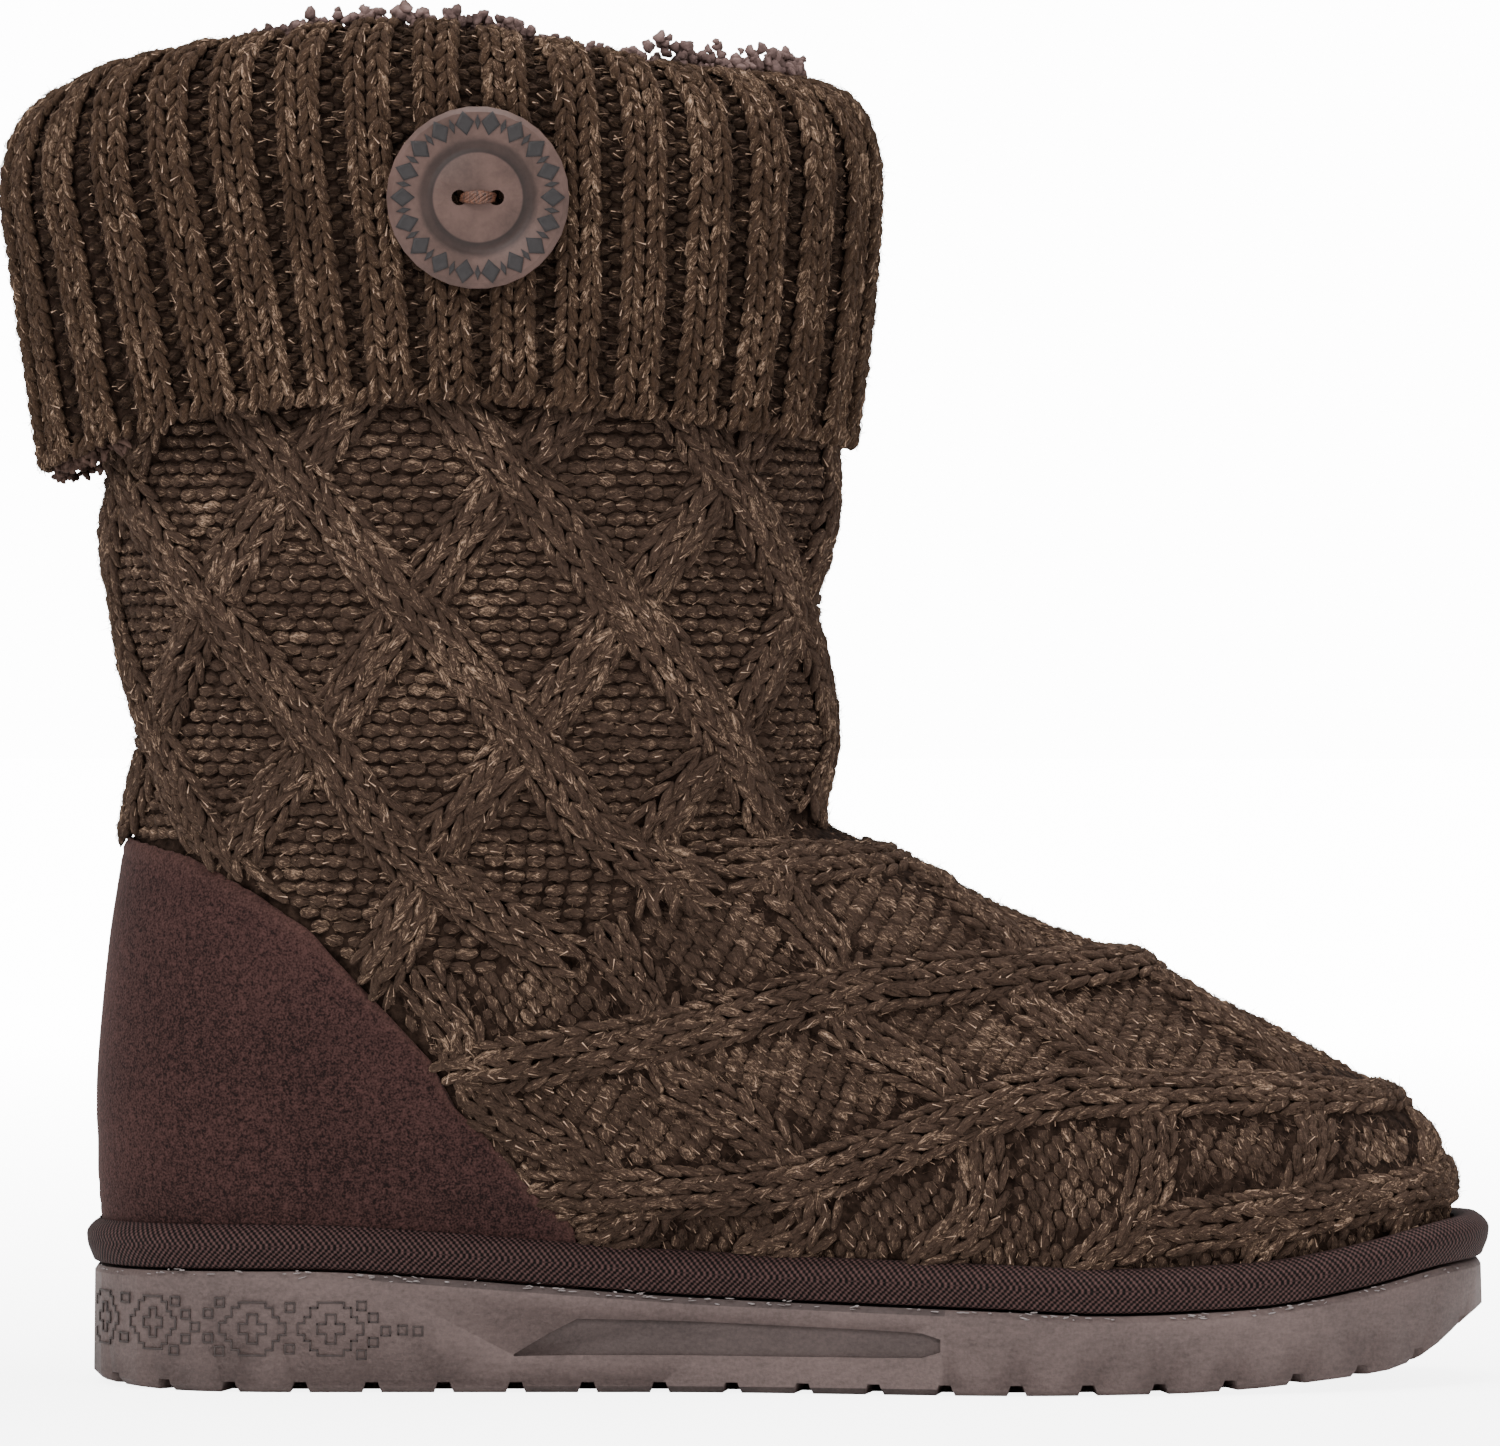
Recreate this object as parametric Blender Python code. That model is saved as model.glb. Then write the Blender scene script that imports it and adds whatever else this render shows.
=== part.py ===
"""Knitted sweater boot, right foot, in metres with +Z up.

The toe points to +X and the outer side of the foot to -Y. The origin is on the ground under the
middle of the heel. Every piece that wraps the foot is worked out from the same sections, so the
wall, the counter, the binding and the footbed stay parallel to each other.
"""

import math

import bmesh
import bpy
import numpy as np
from mathutils import Matrix

MM = 0.001

# Driving dimensions, in millimetres.
SOLE_LENGTH = 275.0
BOOT_HEIGHT = 265.0
BALL_WIDTH = 98.0
HEEL_OVERHANG = 35.0
SOLE_HEEL = 23.5
GAP = 0.3
SEAT_GAP = 0.45

KNIT_WALL = 2.4
CABLE_RISE = 2.0
SUEDE = 1.4
BINDING_HEIGHT = 8.2
BINDING_BULGE = 0.9
FOOTBED = 4.0
CUFF_WALL = 3.6
# The cuff's rings: their exponent, and where along them the ends take over from the sides.
CUFF_ROUNDNESS = 2.15
CUFF_CAPS = .5
RIB_RISE = 1.7
RIB_COUNT = 34
LUG_COUNT = 46
LUG_GROOVE_DEPTH = 2.1
LUG_GROOVE_REACH = 10.0
LUG_GROOVE_ROOF = 2.4
LUG_GROOVE_MOUTH = 5.2
BUTTON_RADIUS = 17.5
BUTTON_THICKNESS = 3.6
BUTTON_HOLE_RADIUS = 1.5
BUTTON_HOLE_SPACING = 7.1
THREAD_RADIUS = 1.0
THREAD_BOW = 0.5
THREAD_STEPS = 6
# A cutter reaches this far past what it cuts.
CUTTER_REACH = 3.0

# The knit repeats nine diamonds around the shaft, with eight columns of the wall in each.
DIAMONDS = 9
DIAMOND_COLUMNS = 8
COLUMNS = DIAMONDS * DIAMOND_COLUMNS
DIAMOND_HEIGHT = 51.0
ROW_STEP = DIAMOND_HEIGHT / DIAMOND_COLUMNS
LATTICE_BASE = 0.385 * BOOT_HEIGHT
LATTICE_ROWS = 14
# On the foot the cables that run along it are whole, those that cross it are lower, and a cable
# needs this much room to the next row and none of the front crease.
CROSSING_CABLE = 0.7
CABLE_ROOM = 2.5
CREASE_COLUMNS = 5
# The wall's top rows, which the cuff hides, are plain.
PLAIN_ROWS = 4
SOLE_COLUMNS = 2 * LUG_COUNT
CROWDING = 20.0
# Rows of the foot that the inside of the wall keeps.
LINING_ROWS = (0, 2, 5, 8, 11, 13)
# In the shaft it keeps the first of these rows over the foot, then one in so many, and the top two.
LINING_START = 5
LINING_STEP = 4

# Sections of the upper, from the feather edge to the collar. Ends are shares of the sole's length
# from its back, the five heights (from back to front) are shares of the boot's height, half
# widths and the sweep of the toe are shares of the ball width, and caps are shares of the section.
SECTION_COLUMNS = ("back", "front", "z_0", "z_25", "z_50", "z_75", "z_100", "heel", "waist_out",
                   "waist_in", "ball_out", "ball_in", "cap_back", "cap_front", "round_back",
                   "round_front", "sweep")
SECTIONS = {
    "feather": (.015, .976, .090, .084, .069, .060, .091,
                .321, .321, .276, .454, .454, .155, .340, 2.25, 2.30, .061),
    "roll": (.013, .978, .121, .114, .098, .089, .129,
             .332, .337, .296, .464, .459, .155, .340, 2.25, 2.30, .061),
    "toe_rope": (.012, .978, .129, .123, .112, .120, .150,
                 .337, .347, .316, .469, .464, .155, .340, 2.25, 2.30, .061),
    "toe_field": (.012, .975, .133, .128, .122, .155, .169,
                  .339, .355, .327, .464, .459, .155, .350, 2.25, 2.25, .056),
    "ball_rope_low": (.011, .962, .139, .134, .134, .192, .190,
                      .342, .362, .337, .449, .449, .160, .380, 2.25, 2.20, .051),
    "ball_rope": (.011, .936, .146, .143, .152, .218, .213,
                  .345, .372, .347, .434, .434, .165, .420, 2.25, 2.10, .046),
    "ball_rope_high": (.010, .905, .158, .158, .175, .236, .233,
                       .347, .380, .359, .420, .421, .170, .460, 2.25, 2.05, .041),
    "vamp_field": (.010, .844, .179, .185, .210, .256, .264,
                   .353, .390, .376, .410, .411, .180, .500, 2.25, 2.05, .031),
    "vamp_rope_low": (.009, .782, .199, .208, .235, .279, .294,
                      .357, .398, .388, .406, .406, .190, .530, 2.25, 2.00, .022),
    "vamp_rope": (.009, .751, .218, .229, .256, .298, .309,
                  .360, .404, .396, .406, .406, .200, .550, 2.25, 2.00, .018),
    "vamp_rope_high": (.010, .720, .240, .251, .277, .316, .323,
                       .364, .410, .404, .408, .408, .210, .560, 2.25, 2.00, .014),
    "instep_field": (.014, .662, .289, .295, .315, .344, .347,
                     .376, .424, .420, .416, .416, .260, .570, 2.20, 2.00, .008),
    "instep_rope_low": (.019, .609, .336, .339, .350, .369, .373,
                        .394, .439, .437, .424, .424, .310, .570, 2.20, 2.00, .004),
    "instep_rope": (.023, .576, .363, .365, .374, .386, .388,
                    .406, .449, .449, .435, .435, .360, .560, 2.15, 2.00, .002),
    "crease": (.028, .527, .395, .395, .400, .408, .409,
               .420, .461, .461, .443, .443, .420, .530, 2.10, 2.05, 0.0),
    "ankle": (.031, .519, .433, .433, .433, .433, .433,
              .441, .476, .476, .455, .455, .470, .500, 2.10, 2.10, 0.0),
    "shin_1": (.033, .524, .481, .481, .481, .481, .481,
               .464, .488, .488, .473, .473, .500, .500, 2.10, 2.10, 0.0),
    "shin_2": (.029, .521, .529, .529, .529, .529, .529,
               .482, .496, .496, .488, .488, .500, .500, 2.10, 2.10, 0.0),
    "shin_3": (.023, .520, .577, .577, .577, .577, .577,
               .496, .502, .502, .498, .498, .500, .500, 2.10, 2.10, 0.0),
    "calf_1": (.014, .524, .625, .625, .625, .625, .625,
               .506, .508, .508, .506, .506, .500, .500, 2.10, 2.10, 0.0),
    "calf_2": (.011, .525, .674, .674, .674, .674, .674,
               .514, .514, .514, .514, .514, .500, .500, 2.10, 2.10, 0.0),
    "cuff_hem": (.010, .524, .722, .722, .722, .722, .722,
                 .520, .520, .520, .520, .520, .500, .500, 2.10, 2.10, 0.0),
    "calf_3": (.007, .521, .792, .792, .792, .792, .792,
               .527, .527, .527, .527, .527, .500, .500, 2.10, 2.10, 0.0),
    "calf_4": (.001, .517, .875, .875, .875, .875, .875,
               .529, .529, .529, .529, .529, .500, .500, 2.10, 2.10, 0.0),
    "collar": (-.001, .510, .949, .962, .969, .963, .956,
               .524, .524, .524, .524, .524, .500, .500, 2.10, 2.10, 0.0),
}
# The outline of the sole, in the same columns. Its heights come from SOLE_TOP.
SOLE_SECTION = (0.0, 1.0, 0.0, 0.0, 0.0, 0.0, 0.0,
                .368, .374, .326, .503, .500, .155, .340, 2.25, 2.30, .061)

# The cuff's profile from the hem, up the outside, over the fold and down inside the collar.
CUFF_COLUMNS = ("back", "front", "z_0", "z_25", "z_50", "z_75", "z_100", "width", "ribbed")
CUFF_SECTIONS = {
    "hem": (-.037, .547, .683, .723, .730, .719, .700, .590, True),
    "leg_mid": (-.053, .560, .798, .817, .823, .815, .806, .620, True),
    "leg_high": (-.064, .565, .891, .904, .909, .902, .894, .633, True),
    "shoulder": (-.056, .558, .940, .953, .958, .953, .945, .616, True),
    "roll_out": (-.036, .540, .970, .983, .989, .983, .976, .576, True),
    "roll_top": (-.013, .519, .980, .993, 1.00, .994, .986, .520, False),
    "roll_in": (.013, .494, .970, .983, .990, .984, .977, .467, False),
    "inner_leg": (.029, .481, .943, .957, .964, .957, .950, .445, False),
    "inner_hem": (.032, .478, .902, .915, .922, .915, .909, .441, False),
}

# Heights of the sole's top and underside along its length, as shares of the heel's thickness.
SOLE_TOP = ((0.0, .985), (.15, 1.0), (.262, .93), (.436, .78), (.65, .69), (.724, .655),
            (.833, .70), (.905, .83), (.975, 1.0), (1.0, 1.02))
SOLE_UNDERSIDE = ((0.0, .05), (.03, .02), (.07, 0.0), (.62, 0.0), (.766, .012), (.825, .043),
                  (.88, .10), (.91, .135), (.938, .19), (.967, .37), (.99, .56), (1.0, .60))
# Levels of the sole's side: share of the way up, then millimetres up and in from there.
SOLE_LEVELS = ((0.0, 0.0, 1.3), (0.0, 1.3, 0.0), (1.0, -1.2, 0.2), (1.0, 0.0, 1.0))
# The recess in each side of the sole: share of the length, and its lower and upper heights.
SOLE_RECESS = ((.305, 7.1, 7.5), (.330, 7.2, 11.6), (.350, 7.3, 14.4), (.42, 7.3, 14.0),
               (.49, 7.2, 13.3), (.56, 7.2, 12.6), (.593, 7.3, 12.1), (.606, 8.4, 10.9))
SOLE_RECESS_DEPTH = 1.0

# The counter's edge seen from the side: share of the length, share of the boot's height.
COUNTER_END = .280
COUNTER_EDGE = ((-.10, .415), (.025, .406), (.077, .393), (.118, .370), (.162, .340), (.189, .309),
                (.219, .277), (.249, .242), (.268, .206), (.276, .170), (COUNTER_END, .143),
                (COUNTER_END, .020), (-.10, .020))
COUNTER_FOOT_ROWS = (0, 1, 3, 5, 7, 8, 9, 10, 11, 12)
COUNTER_COLUMNS = 16
COUNTER_MARGIN = 9.0

# The button's turned profile: share of the radius, millimetres in front of its back.
BUTTON_PROFILE = ((0.0, 0.0), (.94, 0.0), (1.0, .8), (1.0, 2.8), (.94, 3.6), (.67, 3.6),
                  (.61, 2.2), (.54, 2.2), (.50, 2.6), (0.0, 2.6))
BUTTON_FACES = 30
BUTTON_AT = (.2825, .872)

# The binding's outer profile: millimetres in from the sole's outline, share of its height.
BINDING_PROFILE = ((0.3, 0.0), (-BINDING_BULGE, .38), (0.6, .82))
# The cuff's inside, from the inner hem round to the outer one: section, and how far it lies
# inwards and downwards, in shares of the wall.
CUFF_INSIDE = (("inner_hem", -1, 0), ("inner_leg", -1, 0), ("roll_in", -.75, -.75),
               ("roll_top", 0, -1), ("roll_out", .75, -.75), ("leg_high", 1, 0),
               ("leg_mid", .85, 0), ("hem", .55, 0))

COLOURS = {
    "outsole": ((.142, .103, .094), .72),
    "binding": ((.040, .025, .022), .85),
    "insole": ((.20, .16, .13), .90),
    "upper": ((.062, .042, .031), .95),
    "heel_counter": ((.048, .026, .023), .92),
    "cuff": ((.050, .033, .025), .95),
    "button": ((.112, .075, .066), .45),
    "button_thread": ((.19, .075, .045), .60),
}


def smooth_through(known_x, known_y, x):
    """A smooth curve through the given points that doesn't overshoot them."""
    known_x, known_y = np.asarray(known_x, float), np.asarray(known_y, float)
    step = np.diff(known_x)
    slope = np.diff(known_y, axis=0) / step.reshape((-1,) + (1,) * (known_y.ndim - 1))
    tangent = np.zeros_like(known_y)
    product = slope[:-1] * slope[1:]
    total = slope[:-1] + slope[1:]
    tangent[1:-1] = np.where(product > 0, 2 * product / np.where(total == 0, 1, total), 0)
    tangent[0], tangent[-1] = slope[0], slope[-1]
    x = np.clip(np.asarray(x, float), known_x[0], known_x[-1])
    cell = np.clip(np.searchsorted(known_x, x, side="right") - 1, 0, len(step) - 1)
    shape = x.shape + (1,) * (known_y.ndim - 1)
    width = step[cell].reshape(shape)
    t = ((x - known_x[cell]) / step[cell]).reshape(shape)
    return ((1 + 2 * t) * (1 - t) ** 2 * known_y[cell] + t * (1 - t) ** 2 * width * tangent[cell]
            + t * t * (3 - 2 * t) * known_y[cell + 1] + t * t * (t - 1) * width * tangent[cell + 1])


def along(share):
    """The X of a share of the sole's length from its back."""
    return share * SOLE_LENGTH - HEEL_OVERHANG


def sole_height(table, x):
    shares, heights = zip(*table)
    return SOLE_HEEL * smooth_through(shares, heights, (x + HEEL_OVERHANG) / SOLE_LENGTH)


def end_cap(distance, length, roundness):
    """How far a rounded end has opened, from 0 at its tip to 1 where it meets the side."""
    inside = np.clip(1 - distance / length, 0, 1)
    return (1 - inside ** roundness) ** (1 / roundness)


def section_ring(section, count, crowding=0.0):
    """Points around one section, from the middle of the back by the outer side to the front."""
    row = dict(zip(SECTION_COLUMNS, section))
    u = (1 - np.cos(np.linspace(0, math.pi, 1601))) / 2
    x = along(row["back"] + (row["front"] - row["back"]) * u)
    opening = end_cap(u, row["cap_back"], row["round_back"])
    opening = opening * end_cap(1 - u, row["cap_front"], row["round_front"])
    sweep = row["sweep"] * BALL_WIDTH * u ** 2
    sides = []
    for side, sign in (("out", -1), ("in", 1)):
        widths = (row["heel"], row["heel"], row["waist_" + side], row["ball_" + side],
                  row["ball_" + side])
        y = sweep + sign * BALL_WIDTH * smooth_through((0, .14, .40, .70, 1), widths, u) * opening
        length = np.hypot(np.diff(x), np.diff(y))
        heading = np.unwrap(np.arctan2(np.diff(y), np.diff(x)))
        turn = np.abs(np.diff(heading, prepend=heading[0]))
        share = np.concatenate([[0], np.cumsum(length + crowding * turn)])
        stops = np.linspace(0, share[-1], count // 2 + 1)
        places = np.interp(stops, share, u)
        sides.append(np.stack([np.interp(places, u, x), np.interp(places, u, y), places], axis=1))
    ring = np.concatenate([sides[0], sides[1][-2:0:-1]])
    heights = [row["z_" + name] * BOOT_HEIGHT for name in ("0", "25", "50", "75", "100")]
    ring[:, 2] = smooth_through((0, .25, .5, .75, 1), heights, ring[:, 2])
    return ring


def outline_normals(ring):
    """Level directions that point out of a ring."""
    tangent = np.roll(ring, -1, axis=0) - np.roll(ring, 1, axis=0)
    normal = np.stack([tangent[:, 1], -tangent[:, 0], np.zeros(len(ring))], axis=1)
    return normal / np.linalg.norm(normal, axis=1, keepdims=True)


def upper_rows():
    """The wall's sections: those of the foot as listed, then one for each row of the lattice."""
    names = list(SECTIONS)
    table = np.array([SECTIONS[name] for name in names])
    middle = table[:, SECTION_COLUMNS.index("z_50")] * BOOT_HEIGHT
    foot = names.index("instep_rope") + 1
    shaft = LATTICE_BASE + ROW_STEP * np.arange(1, LATTICE_ROWS + 1)
    above = middle[names.index("calf_3"):]
    return smooth_through(middle, table, np.concatenate([middle[:foot], shaft, above])), foot


def upper_grid():
    """Base points and outward normals of the wall, as rows of COLUMNS points."""
    rows, foot = upper_rows()
    crowding = np.interp(np.arange(len(rows)), (0, foot), (CROWDING, 0))
    grid = np.array([section_ring(row, COLUMNS, crowd) for row, crowd in zip(rows, crowding)])
    grid[0, :, 2] = sole_height(SOLE_TOP, grid[0, :, 0]) + SEAT_GAP
    grid[1, :, 2] = grid[0, :, 2] + BINDING_HEIGHT + GAP
    around = np.roll(grid, -1, axis=1) - np.roll(grid, 1, axis=1)
    up = np.gradient(grid, axis=0)
    normals = np.cross(around, up)
    normals[[0, -1], :, 2] = 0
    return grid, normals / np.linalg.norm(normals, axis=2, keepdims=True), foot


def from_front(column):
    return np.abs(COLUMNS // 2 - column)


def cable_rise(grid, foot):
    """How far each point of the wall is raised: on the cables, and nowhere that they are hidden."""
    column = np.arange(COLUMNS)
    rise = np.zeros(grid.shape[:2])
    instep = foot - 1
    for row in range(2, len(grid) - PLAIN_ROWS):
        above = row - instep
        if above >= 0:
            rise[row] = ((column - above) % DIAMOND_COLUMNS == 0) | (
                (column + above) % DIAMOND_COLUMNS == 0)
        else:
            crossing = (from_front(column) + above) % (DIAMOND_COLUMNS // 2) == 0
            rise[row] = CROSSING_CABLE * crossing
    names = list(SECTIONS)
    for rope in ("toe_rope", "ball_rope", "vamp_rope"):
        rise[names.index(rope)] = 1
    apart = np.linalg.norm(np.diff(grid, axis=0), axis=2)
    room = np.minimum(apart[1:], apart[:-1])
    rise[1:-1] *= np.clip((room - CABLE_ROOM) / CABLE_ROOM, 0, 1)
    in_crease = from_front(column) <= CREASE_COLUMNS
    rise[instep - 1:instep + 3] *= ~in_crease
    return CABLE_RISE * rise * ~under_counter(grid)


def inside_polygon(x, z, polygon):
    """Which points lie inside a closed outline."""
    inside = np.zeros(x.shape, bool)
    for (x0, z0), (x1, z1) in zip(polygon, polygon[1:] + polygon[:1]):
        crosses = (z0 > z) != (z1 > z)
        with np.errstate(divide="ignore", invalid="ignore"):
            inside ^= crosses & (x < (x1 - x0) * (z - z0) / (z1 - z0) + x0)
    return inside


def counter_edge():
    return [(along(x), z * BOOT_HEIGHT) for x, z in COUNTER_EDGE]


def under_counter(points):
    """Which points of the wall the counter covers, with a margin around it."""
    covered = np.zeros(points.shape[:-1], bool)
    for dx in (-COUNTER_MARGIN, 0, COUNTER_MARGIN):
        for dz in (-COUNTER_MARGIN, 0, COUNTER_MARGIN):
            covered |= inside_polygon(points[..., 0] + dx, points[..., 2] + dz, counter_edge())
    return covered


def new_material(name):
    colour, roughness = COLOURS[name]
    material = bpy.data.materials.new(name)
    material.use_nodes = True
    shader = material.node_tree.nodes["Principled BSDF"]
    shader.inputs["Base Color"].default_value = (*colour, 1)
    shader.inputs["Roughness"].default_value = roughness
    shader.inputs["Metallic"].default_value = 0
    material.diffuse_color = (*colour, 1)
    return material


def new_object(name, bm, cutter=False, sharp=40):
    """An object from a bmesh in millimetres, shaded smooth away from its sharp edges."""
    bmesh.ops.recalc_face_normals(bm, faces=bm.faces)
    bmesh.ops.scale(bm, vec=(MM, MM, MM), verts=bm.verts)
    mesh = bpy.data.meshes.new(name)
    bm.to_mesh(mesh)
    bm.free()
    obj = bpy.data.objects.new(name, mesh)
    bpy.context.scene.collection.objects.link(obj)
    if cutter:
        obj.hide_render = True
        obj.display_type = "WIRE"
    else:
        mesh.materials.append(new_material(name))
        mesh.shade_smooth()
        mesh.set_sharp_from_angle(angle=math.radians(sharp))
    return obj


def cut(obj, cutter, operation="DIFFERENCE"):
    modifier = obj.modifiers.new(cutter.name, "BOOLEAN")
    modifier.operation = operation
    modifier.object = cutter


def add_ring(bm, points):
    return [bm.verts.new(point) for point in points]


def bridge(bm, lower, upper, ridge=None):
    """Faces between two rings of one count; ridge says which diagonals rise to the right."""
    count = len(lower)
    for i in range(count):
        j = (i + 1) % count
        corners = (lower[i], lower[j], upper[j], upper[i])
        if ridge is None:
            bm.faces.new(corners)
        elif ridge[i]:
            bm.faces.new((corners[0], corners[1], corners[2]))
            bm.faces.new((corners[0], corners[2], corners[3]))
        else:
            bm.faces.new((corners[0], corners[1], corners[3]))
            bm.faces.new((corners[1], corners[2], corners[3]))


def bridge_half(bm, fine, coarse):
    """Faces from a ring to one with half as many points."""
    for i, low in enumerate(coarse):
        high = coarse[(i + 1) % len(coarse)]
        a, b, c = fine[2 * i], fine[2 * i + 1], fine[(2 * i + 2) % len(fine)]
        bm.faces.new((a, b, low))
        bm.faces.new((b, high, low))
        bm.faces.new((b, c, high))


def ladder(bm, ring):
    """Closes a ring that runs from back to front, with a rung between its two sides."""
    count = len(ring)
    half = count // 2
    bm.faces.new((ring[0], ring[1], ring[-1]))
    for i in range(1, half - 1):
        bm.faces.new((ring[i], ring[i + 1], ring[count - i - 1], ring[count - i]))
    bm.faces.new((ring[half - 1], ring[half], ring[half + 1]))


def build_upper(grid, normals, foot):
    """One knitted wall, hollow from the collar to the feather edge, with its cables raised."""
    rise = cable_rise(grid, foot)
    raised = rise > 0
    outer_points = grid + normals * rise[..., None]
    inner_points = grid - normals * KNIT_WALL
    bm = bmesh.new()
    outer = [add_ring(bm, ring) for ring in outer_points]
    for row in range(len(grid) - 1):
        low, high = raised[row], raised[row + 1]
        rising = low & np.roll(high, -1)
        falling = np.roll(low, -1) & high
        bridge(bm, outer[row], outer[row + 1], rising & ~falling)
    lining = [add_ring(bm, inner_points[row]) for row in (*LINING_ROWS, foot + 1)]
    for low, high in zip(lining, lining[1:]):
        bridge(bm, low, high)
    above = [*range(foot + LINING_START, len(grid) - 3, LINING_STEP), len(grid) - 2, len(grid) - 1]
    shaft = [add_ring(bm, inner_points[row][::2]) for row in above]
    bridge_half(bm, lining[-1], shaft[0])
    for low, high in zip(shaft, shaft[1:]):
        bridge(bm, low, high)
    bridge(bm, outer[0], lining[0])
    bridge_half(bm, outer[-1], shaft[-1])
    return new_object("upper", bm)


def build_counter(grid, normals, foot):
    """A suede shell round the heel, cut to its edge from a larger shell of the upper."""
    columns = list(range(-COUNTER_COLUMNS, COUNTER_COLUMNS + 1))
    top = max(z for _, z in counter_edge()) + COUNTER_MARGIN
    shaft_rows = [row for row in range(foot - 1, len(grid) - 1) if grid[row - 1, 0, 2] < top]
    rows = (*COUNTER_FOOT_ROWS, *shaft_rows)
    bm = bmesh.new()
    layers = []
    for offset in (SEAT_GAP, SEAT_GAP + SUEDE):
        points = grid + normals * offset
        layers.append([[bm.verts.new(points[row, column]) for column in columns]
                       for row in rows])
    for layer in layers:
        for low, high in zip(layer, layer[1:]):
            for i in range(len(columns) - 1):
                bm.faces.new((low[i], low[i + 1], high[i]))
                bm.faces.new((low[i + 1], high[i + 1], high[i]))
    rims = [layer[0] + [row[-1] for row in layer[1:]] + layer[-1][-2::-1]
            + [row[0] for row in layer[-2:0:-1]] for layer in layers]
    bridge(bm, rims[0], rims[1])
    counter = new_object("heel_counter", bm)
    bm = bmesh.new()
    face = bm.faces.new([bm.verts.new((x, -BALL_WIDTH, z)) for x, z in counter_edge()])
    swept = bmesh.ops.extrude_face_region(bm, geom=[face])
    moved = [item for item in swept["geom"] if isinstance(item, bmesh.types.BMVert)]
    bmesh.ops.translate(bm, vec=(0, 2 * BALL_WIDTH, 0), verts=moved)
    cut(counter, new_object("counter_outline", bm, cutter=True), "INTERSECT")
    return counter


def build_outsole():
    """The moulded sole, with its grooves round the edge and the recess in each side."""
    outline = section_ring(SOLE_SECTION, SOLE_COLUMNS)
    normals = outline_normals(outline)
    top = sole_height(SOLE_TOP, outline[:, 0])
    underside = sole_height(SOLE_UNDERSIDE, outline[:, 0])
    bm = bmesh.new()
    rings = []
    for share, rise, inset in SOLE_LEVELS:
        points = outline - normals * inset
        points[:, 2] = underside + (top - underside) * share + rise
        rings.append(add_ring(bm, points))
    for low, high in zip(rings, rings[1:]):
        bridge(bm, low, high)
    ladder(bm, rings[0])
    ladder(bm, rings[-1])
    sole = new_object("outsole", bm)
    cut(sole, build_lug_grooves())
    for side in (-1, 1):
        cut(sole, build_recess(side))
    return sole


def build_lug_grooves():
    """Wedges at even spacing round the edge, each across the outline and up into the sole."""
    outline = section_ring(SOLE_SECTION, SOLE_COLUMNS)
    normals = outline_normals(outline)
    bm = bmesh.new()
    for i in range(1, SOLE_COLUMNS, 2):
        normal = normals[i]
        tangent = np.array((-normal[1], normal[0], 0.0))
        corners = []
        for reach in (CUTTER_REACH, -LUG_GROOVE_REACH):
            place = outline[i] + normal * reach
            place[2] = 0.0
            roof = float(sole_height(SOLE_UNDERSIDE, place[0])) + LUG_GROOVE_DEPTH
            floor = roof - 2 * LUG_GROOVE_DEPTH
            for width, z in ((LUG_GROOVE_MOUTH, floor), (LUG_GROOVE_ROOF, roof)):
                for sign in (-.5, .5):
                    corners.append(place + tangent * width * sign + np.array((0, 0, z)))
        box = [bm.verts.new(corner) for corner in corners]
        for face in ((0, 1, 3, 2), (4, 6, 7, 5), (0, 4, 5, 1), (2, 3, 7, 6), (0, 2, 6, 4),
                     (1, 5, 7, 3)):
            bm.faces.new([box[k] for k in face])
    return new_object("lug_grooves", bm, cutter=True)


def build_recess(side):
    """The long pointed recess in one side of the sole."""
    outline = section_ring(SOLE_SECTION, 400)
    half = outline[:201] if side < 0 else np.concatenate([outline[:1], outline[:199:-1]])
    bm = bmesh.new()
    rings = []
    for share, low, high in SOLE_RECESS:
        x = along(share)
        wall = abs(float(np.interp(x, half[:, 0], half[:, 1])))
        deep, proud = side * (wall - SOLE_RECESS_DEPTH), side * (wall + CUTTER_REACH)
        rings.append(add_ring(bm, ((x, deep, low), (x, proud, low), (x, proud, high),
                                   (x, deep, high))))
    for near, far in zip(rings, rings[1:]):
        bridge(bm, near, far)
    bm.faces.new(rings[0])
    bm.faces.new(rings[-1])
    return new_object("recess_out" if side < 0 else "recess_in", bm, cutter=True)


def build_binding(grid, normals):
    """The taped roll between the sole and the knit, flat inside and round outside."""
    base = grid[0]
    covered = base[:, 0] < along(COUNTER_END) + 1.5 * COUNTER_MARGIN
    clearance = np.where(covered, SEAT_GAP + SUEDE + 1.5 * GAP, GAP)[:, None]
    inner_low = base + normals[0] * clearance
    inner_high = grid[1] + normals[1] * clearance
    edge = section_ring(SOLE_SECTION, COLUMNS, CROWDING)
    out = outline_normals(edge)
    floor = sole_height(SOLE_TOP, edge[:, 0]) + SEAT_GAP
    bm = bmesh.new()
    inner_low[:, 2] = sole_height(SOLE_TOP, inner_low[:, 0]) + SEAT_GAP
    inner_high[:, 2] = inner_high[:, 2] - GAP
    rings = [add_ring(bm, inner_low)]
    for inset, share in BINDING_PROFILE:
        points = edge - out * inset
        points[:, 2] = floor + share * BINDING_HEIGHT
        rings.append(add_ring(bm, points))
    rings.append(add_ring(bm, inner_high))
    for low, high in zip(rings, rings[1:] + rings[:1]):
        bridge(bm, low, high)
    return new_object("binding", bm, sharp=70)


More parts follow.
